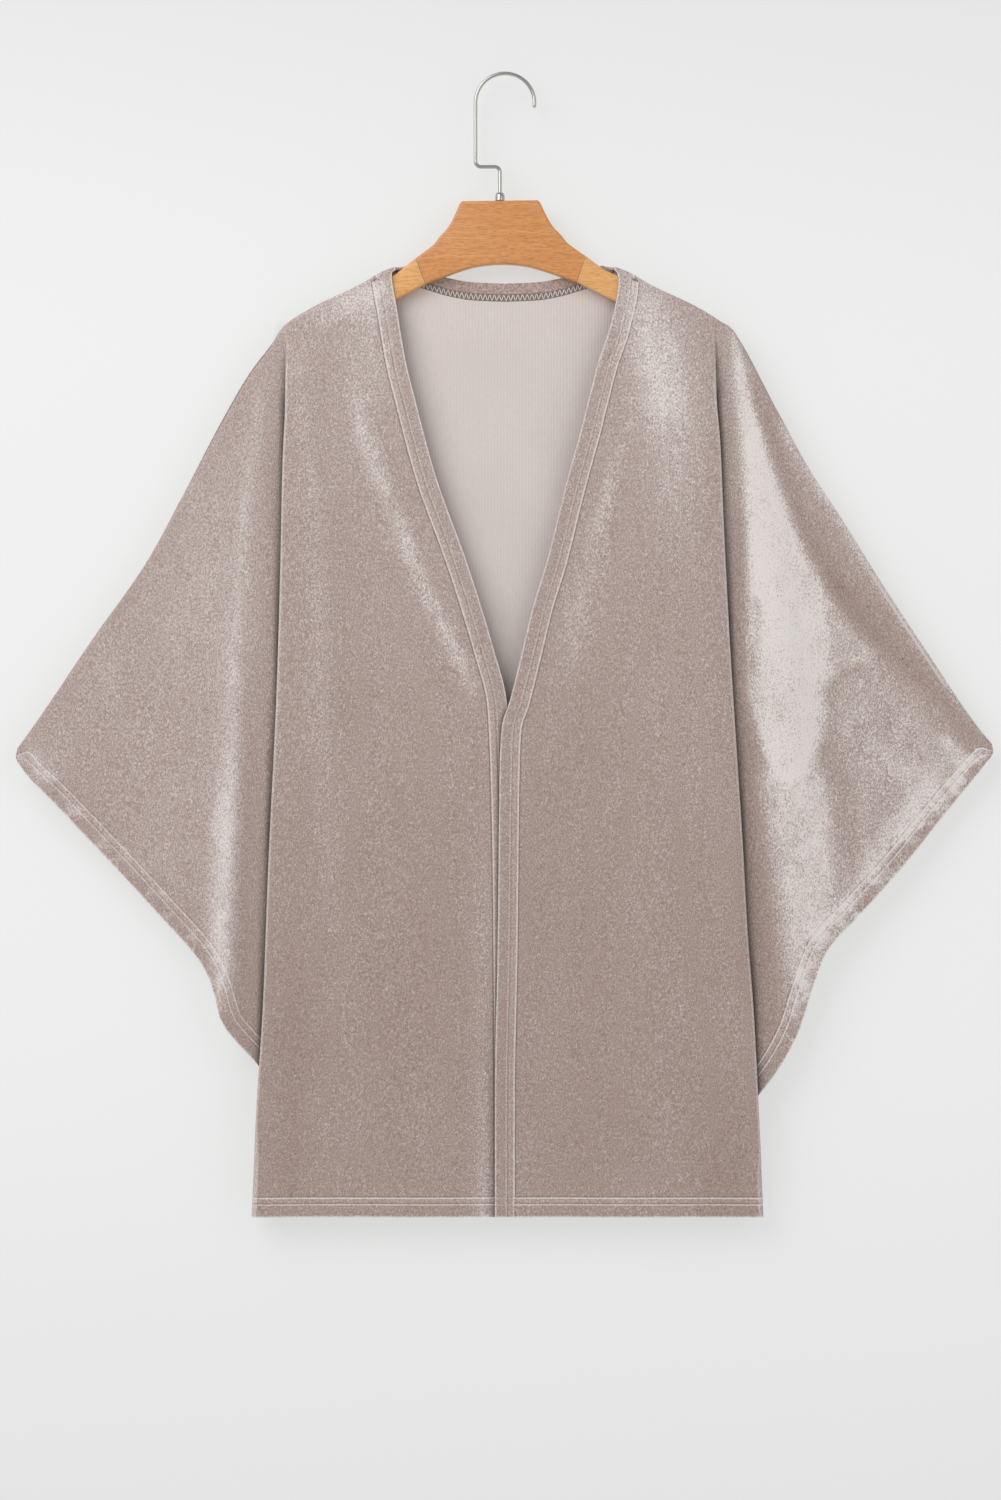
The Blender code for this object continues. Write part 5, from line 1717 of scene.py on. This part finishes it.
@dataclass(frozen=True)
class PaperFinish:
    """A pale backdrop, painted darker towards its top and bottom as a falloff of light; it may be clear
    from behind and open where the coat hides it.

    The opening lets the rear lamp light the coat's back, and the coat covers it from the front.
    """

    name: str
    colour: Rgb
    clear_behind: bool
    glow: float = 0.62
    falloff_shade: float = 0.66
    opening_top: tuple[float, float] = (-0.228, -0.248)
    opening_bottom: tuple[float, float] = (-1.072, -1.052)
    opening_soft: float = 0.010
    body_half_width: float = 0.214
    upper_slope: tuple[float, float] = (-0.66, 0.026)
    lower_slope: tuple[float, float] = (0.688, 0.864)

    def build(self) -> bpy.types.Material:
        """Make the material."""
        make = NodeMaker(self.name)
        height = make.axis("Z")
        # Painted falloff of light: the backdrop is painted darker towards its top and its bottom
        ends = height.stepped(-0.30, 0.35) + height.stepped(-0.85, -1.50) * 0.6
        unlit = tinted(self.colour, 1 - self.glow)
        make.set(Base_Color=make.mix(ends.clamped(), unlit, tinted(unlit, self.falloff_shade)), Roughness=0.9)
        make.set(Emission_Color=self.colour, Emission_Strength=self.glow)
        if self.clear_behind:
            behind = make.node("ShaderNodeNewGeometry", output="Backfacing")
            upper, lower = (
                height * slope + start for slope, start in (self.upper_slope, self.lower_slope)
            )
            half_width = upper.smallest(lower).largest(self.body_half_width)
            opened = (abs(make.axis("X")) - half_width).stepped(self.opening_soft, -self.opening_soft)
            opened = opened * height.stepped(*self.opening_top) * height.stepped(*self.opening_bottom)
            clear = make.node("ShaderNodeBsdfTransparent")
            paper = Expression(make, make.shader.outputs[0])
            both = make.node("ShaderNodeMixShader", {}, (behind.largest(opened), paper, clear))
            make.tree.links.new(both.socket, make.tree.nodes["Material Output"].inputs[0])
        return make.material


ARM_TOP = (
    (0.0808, -0.1733), (0.0930, -0.1827), (0.1017, -0.1885), (0.1170, -0.1935), (0.1330, -0.2000),
    (0.1500, -0.2079), (0.1700, -0.2170), (0.1890, -0.2271), (0.2015, -0.2358), (0.2068, -0.2425),
)
ARM_BOTTOM = (
    (0.0717, -0.1978), (0.0980, -0.2115), (0.1080, -0.2165), (0.1500, -0.2370), (0.1900, -0.2560),
    (0.2000, -0.2585), (0.2062, -0.2530),
)
CENTRE_TOP = (
    (0.0360, -0.1197), (0.0385, -0.1226), (0.0418, -0.1300), (0.0456, -0.1378), (0.0504, -0.1454),
    (0.0575, -0.1530), (0.0636, -0.1606), (0.0732, -0.1680), (0.0808, -0.1733),
)
CENTRE_BOTTOM = (
    (0.0717, -0.1978), (0.0500, -0.1900), (0.0300, -0.1835), (0.0150, -0.1808), (0.0000, -0.1800),
)


@dataclass
class Hanger:
    """The wooden hanger: a bow-shaped middle and two arms glued to it."""

    centre_x: float = -0.0048
    top: float = -0.1197
    tilt: float = math.radians(0.73)
    half_depth: float = 0.0057
    rounding: float = 0.0024
    glue_gap: float = 0.0003
    smoothing: int = 4
    rounding_steps: int = 6
    straight: float = 0.02
    sharp_degrees: float = 40.0

    def smooth(self, points: Pairs) -> list[Vector]:
        """A rounder line through the outline's points, by a Catmull-Rom spline."""
        line = [Vector(p) for p in points]
        padded = [2 * line[0] - line[1]] + line + [2 * line[-1] - line[-2]]
        made = []
        for a, b, c, d in zip(padded, padded[1:], padded[2:], padded[3:]):
            for step in range(self.smoothing):
                t = step / self.smoothing
                made.append(0.5 * (
                    2 * b + (c - a) * t + (2 * a - 5 * b + 4 * c - d) * t * t
                    + (3 * b - 3 * c + d - a) * t * t * t
                ))
        return made + [line[-1]]

    def inset(self, outline: Sequence[Vector], glued: Sequence[int], distance: float) -> list[Vector]:
        """Move an outline's edges inward, its glued ones excepted, and find the new corners."""
        count = len(outline)
        area = sum(outline[i - 1].cross(outline[i]) for i in range(count))
        turn = 1 if area > 0 else -1
        lines = []
        for i in range(count):
            along = (outline[(i + 1) % count] - outline[i]).normalized()
            inward = Vector((-along.y, along.x)) * turn * (0.0 if i in glued else distance)
            lines.append((outline[i] + inward, along, inward))
        corners = []
        for i in range(count):
            before, here = lines[i - 1], lines[i]
            cross = before[1].cross(here[1])
            if abs(cross) < self.straight:
                corners.append(outline[i] + here[2])
            else:
                corners.append(before[0] + before[1] * ((here[0] - before[0]).cross(here[1]) / cross))
        return corners

    def piece(
        self, name: str, outline: Sequence[Vector], glued: Sequence[int], finish: bpy.types.Material
    ) -> bpy.types.Object:
        """Extrude an outline to the hanger's thickness with rounded long edges."""
        steps = []
        for index in range(self.rounding_steps):
            angle = math.pi / 2 * index / (self.rounding_steps - 1)
            steps.append((self.rounding * (1 - math.sin(angle)), self.rounding * (1 - math.cos(angle))))
        levels = [(inset, depth - self.half_depth) for inset, depth in steps]
        levels += [(inset, self.half_depth - depth) for inset, depth in steps[::-1]]
        cos, sin = math.cos(self.tilt), math.sin(self.tilt)
        points = []
        for inset, y in levels:
            for corner in self.inset(outline, glued, inset):
                x, z = corner.x, corner.y - self.top
                points.append((x * cos - z * sin + self.centre_x, y, x * sin + z * cos + self.top))
        return mesh_piece(name, points, tube_faces(len(levels), len(outline)), finish, self.sharp_degrees)

    def glue(self, point: tuple[float, float], sign: int) -> tuple[float, float]:
        """Move a glue joint's corner half the joint's gap to one side."""
        return (point[0] + sign * self.glue_gap / 2, point[1])

    def centre(self, finish: bpy.types.Material) -> bpy.types.Object:
        """The bow-shaped middle."""
        top = self.smooth(CENTRE_TOP[:-1] + (self.glue(CENTRE_TOP[-1], -1),))
        mirrored = [(-x, z) for x, z in reversed(CENTRE_BOTTOM[1:-1])]
        start = self.glue(CENTRE_BOTTOM[0], -1)
        bottom = self.smooth((start, *CENTRE_BOTTOM[1:], *mirrored, (-start[0], start[1])))
        left = [Vector((-p.x, p.y)) for p in reversed(top)]
        outline = top + bottom + left
        glued = (len(top) - 1, len(top) + len(bottom) - 1)
        return self.piece("hanger_middle", outline, glued, finish)

    def arm(self, half: Half, finish: bpy.types.Material) -> bpy.types.Object:
        """One arm, from its glue joint to its rounded end."""
        top = self.smooth((self.glue(ARM_TOP[0], 1), *ARM_TOP[1:]))
        bottom = self.smooth((self.glue(ARM_BOTTOM[0], 1), *ARM_BOTTOM[1:]))
        outline = [Vector((half.sign * p.x, p.y)) for p in top + bottom[::-1]]
        return self.piece(f"hanger_wing_{half.name}", outline, (len(outline) - 1,), finish)


def tube_faces(rings: int, count: int) -> list[list[int]]:
    """The two ends of a row of rings, with `count` points each, and the faces between rings."""
    faces = [list(range(count)), [rings * count - 1 - i for i in range(count)]]
    for near in range(0, (rings - 1) * count, count):
        for i in range(count):
            j = (i + 1) % count
            faces.append([near + j, near + i, near + count + i, near + count + j])
    return faces


def mesh_piece(
    name: str,
    points: Sequence[Sequence[float]],
    faces: Sequence[Sequence[int]],
    finish: bpy.types.Material,
    sharp_degrees: float,
) -> bpy.types.Object:
    """A mesh with its faces turned out, shaded smooth but for its sharp edges."""
    mesh = bpy.data.meshes.new(name)
    mesh.from_pydata([tuple(p) for p in points], [], [list(f) for f in faces])
    work = bmesh.new()
    work.from_mesh(mesh)
    bmesh.ops.recalc_face_normals(work, faces=work.faces)
    work.to_mesh(mesh)
    work.free()
    mesh.shade_smooth()
    mesh.set_sharp_from_angle(angle=math.radians(sharp_degrees))
    mesh.materials.append(finish)
    return linked(name, mesh)


@dataclass
class Hook:
    """The bent wire hook and the turned collar at its foot."""

    wire_radius: float = 0.00175
    bend_radius: float = 0.0280
    end_angle: float = math.radians(-6)
    side_bottom: float = -0.0870
    corner_radius: float = 0.0050
    stem_x: float = -0.0048
    foot: float = -0.1194
    sides: int = 20
    bend_steps: int = 56
    corner_steps: int = 10
    dome_steps: int = 6
    dome_start: float = 0.15
    wire_sharp_degrees: float = 50.0
    collar_radius: float = 0.0044
    collar_height: float = 0.0056
    collar_soft: float = 0.0003
    collar_neck: tuple[tuple[float, float], ...] = ((0.0034, 0.0074), (0.0031, 0.0076))
    collar_sides: int = 48
    collar_sharp_degrees: float = 35.0

    def path(self) -> list[tuple[float, float]]:
        """The wire's middle line: round hook, straight side, crank and stem."""

        def arc(x: float, z: float, radius: float, angles: Array) -> list[tuple[float, float]]:
            """Points at some angles round a middle point."""
            return [(x + radius * math.cos(angle), z + radius * math.sin(angle)) for angle in angles]

        corner = self.corner_radius
        points = arc(
            0.0,
            self.wire_radius - self.bend_radius,
            self.bend_radius,
            np.linspace(self.end_angle, math.pi, self.bend_steps),
        )
        points += arc(
            corner - self.bend_radius,
            self.side_bottom + corner,
            corner,
            np.linspace(math.pi, 1.5 * math.pi, self.corner_steps),
        )
        points += arc(
            self.stem_x - corner,
            self.side_bottom - corner,
            corner,
            np.linspace(0.5 * math.pi, 0.0, self.corner_steps),
        )
        return points + [(self.stem_x, self.foot)]

    def wire(self, finish: bpy.types.Material) -> bpy.types.Object:
        """A round wire with a domed end."""
        path = [Vector((x, 0.0, z)) for x, z in self.path()]
        back = (path[0] - path[1]).normalized()
        dome = []
        for angle in np.linspace(math.pi / 2, self.dome_start, self.dome_steps)[:0:-1]:
            shift = self.wire_radius * math.cos(angle)
            dome.append((path[0] + back * shift, self.wire_radius * math.sin(angle)))
        rings = dome + [(point, self.wire_radius) for point in path]
        centres = [ring[0] for ring in rings]
        points = []
        side = Vector((0.0, 1.0, 0.0))
        for index, (centre, radius) in enumerate(rings):
            ahead = centres[min(index + 1, len(centres) - 1)] - centres[max(index - 1, 0)]
            other = ahead.normalized().cross(side)
            for step in range(self.sides):
                angle = 2 * math.pi * step / self.sides
                points.append(centre + (side * math.cos(angle) + other * math.sin(angle)) * radius)
        faces = tube_faces(len(rings), self.sides)
        return mesh_piece("bent_wire", points, faces, finish, self.wire_sharp_degrees)

    def collar(self, finish: bpy.types.Material) -> bpy.types.Object:
        """The turned collar, with softened corners."""
        soft, sides = self.collar_soft, self.collar_sides
        radius, height = self.collar_radius, self.collar_height
        bore = self.wire_radius + soft
        profile = (
            (bore, 0.0),
            (radius - soft, 0.0),
            (radius, soft),
            (radius, height - soft),
            (radius - soft, height + soft),
            *self.collar_neck,
            (bore, self.collar_neck[-1][1]),
        )
        points, faces = [], []
        for step in range(sides):
            angle = 2 * math.pi * step / sides
            for out, up in profile:
                points.append((self.stem_x + out * math.cos(angle), out * math.sin(angle), self.foot + up))
        count = len(profile)
        for step in range(sides):
            here, there = step * count, (step + 1) % sides * count
            for i in range(count):
                j = (i + 1) % count
                faces.append([here + i, there + i, there + j, here + j])
        return mesh_piece("turned_collar", points, faces, finish, self.collar_sharp_degrees)


@dataclass(frozen=True)
class Lamp:
    """One square soft light."""

    name: str
    place: Place
    size: float
    power: float
    aim: Place = (0.0, 0.0, -0.6)

    def hang(self) -> None:
        """Put the lamp into the scene."""
        light = bpy.data.lights.new(self.name, "AREA")
        light.size = self.size
        light.energy = self.power
        lamp = linked(self.name, light)
        lamp.location = self.place
        lamp.rotation_euler = (Vector(self.aim) - Vector(self.place)).to_track_quat("-Z", "Y").to_euler()


@dataclass
class Studio:
    """Pale floor and wall, soft light from the upper left, and the camera."""

    lens: float = 85.0
    sensor: float = 36.0
    eye: Place = (-0.0043, -3.3643, -0.641)
    wall_y: float = 0.0215
    floor_z: float = -1.62
    side: float = 3.0
    room: Rgb = (0.95, 0.955, 0.95)
    room_strength: float = 0.50
    lamps: tuple[Lamp, ...] = (
        Lamp("key", (-1.5, -2.0, 1.0), 2.4, 50.0, (0.0, 0.0, -0.50)),
        Lamp("fill", (2.2, -2.4, 0.1), 2.4, 15.0),
        Lamp("rear", (1.0, 2.3, 0.7), 2.6, 30.0),
    )

    def plane(self, name: str, corners: Sequence[Place], finish: bpy.types.Material) -> None:
        """One flat backdrop."""
        mesh = bpy.data.meshes.new(name)
        mesh.from_pydata(corners, [], [tuple(range(len(corners)))])
        mesh.materials.append(finish)
        linked(name, mesh)

    def backdrop(self) -> None:
        """The wall behind the coat and the floor below it."""
        side, back, low = self.side, self.wall_y, self.floor_z
        ends = (-side, side, side, -side)
        wall = zip(ends, (back,) * 4, (low, low, side, side))
        floor = zip(ends, (-side, -side, side, side), (low,) * 4)
        self.plane("wall", list(wall), PaperFinish("pale_wall", linear(237, 238, 237), True).build())
        self.plane("floor", list(floor), PaperFinish("pale_floor", linear(236, 237, 236), False).build())

    def lights(self) -> None:
        """The key from the upper left, weaker lamps from the right and behind, and the room's light."""
        for lamp in self.lamps:
            lamp.hang()
        world = bpy.data.worlds.new("room")
        world.use_nodes = True
        background = world.node_tree.nodes["Background"]
        background.inputs["Color"].default_value = (*self.room, 1.0)
        background.inputs["Strength"].default_value = self.room_strength
        bpy.context.scene.world = world

    def camera(self) -> None:
        """A camera square to the coat."""
        lens = bpy.data.cameras.new("camera")
        lens.lens = self.lens
        lens.sensor_fit = "VERTICAL"
        lens.sensor_height = self.sensor
        lens.sensor_width = self.sensor
        camera = linked("camera", lens)
        camera.location = self.eye
        camera.rotation_euler = (math.pi / 2, 0.0, 0.0)
        bpy.context.scene.camera = camera


def declare(piece: bpy.types.Object, node: str) -> bpy.types.Object:
    """Attach a piece to the body, hide the CAD node that it stands for and log which node that is."""
    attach(piece, BODY)
    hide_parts(node)
    LOG.info("%s stands for %s", piece.name, node)
    return piece


def main() -> None:
    """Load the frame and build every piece."""
    logging.basicConfig(level=logging.INFO, format="%(message)s")
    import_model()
    studio = Studio()
    studio.camera()
    studio.lights()
    studio.backdrop()
    bpy.context.scene.view_settings.view_transform = "Standard"

    cloth = (VelvetFinish().build(), KnitFinish().build())
    thread = ThreadFinish("rose_thread", linear(230, 219, 213)).build()
    pale_thread = ThreadFinish("pale_thread", linear(240, 232, 228)).build()
    coat, sewing = Coat(Drape()), Sewing()
    for half in (LEFT, RIGHT):
        front = declare(coat.front(half, cloth), f"front_{half.name}")
        sewn = sewing.lines(f"stitches_front_{half.name}", coat.seams[front.name], thread)
        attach(sewn, BODY)
    back = declare(coat.back(cloth), "back")
    sewn = sewing.lines("stitches_back", coat.seams[back.name], thread)
    legs = sewing.zigzag(*coat.neck_band)
    band = sewing.piece("stitches_neck", legs, pale_thread, 1.0, sewing.zigzag_radius)
    for piece in (sewn, band):
        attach(piece, BODY)

    hanger = Hanger()
    centre_wood = WoodFinish("beech_middle", 0.0, linear(194, 120, 60), linear(224, 162, 98)).build()
    declare(hanger.centre(centre_wood), "hanger_centre")
    for half in (LEFT, RIGHT):
        turn = math.radians(-26 * half.sign)
        wood = WoodFinish(f"beech_wing_{half.name}", turn, linear(212, 146, 82), linear(240, 186, 122))
        declare(hanger.arm(half, wood.build()), f"hanger_arm_{half.name}")
    hook = Hook()
    nickel = MetalFinish().build()
    declare(hook.wire(nickel), "hook")
    declare(hook.collar(nickel), "hook_collar")


if __name__ == "__main__":
    main()
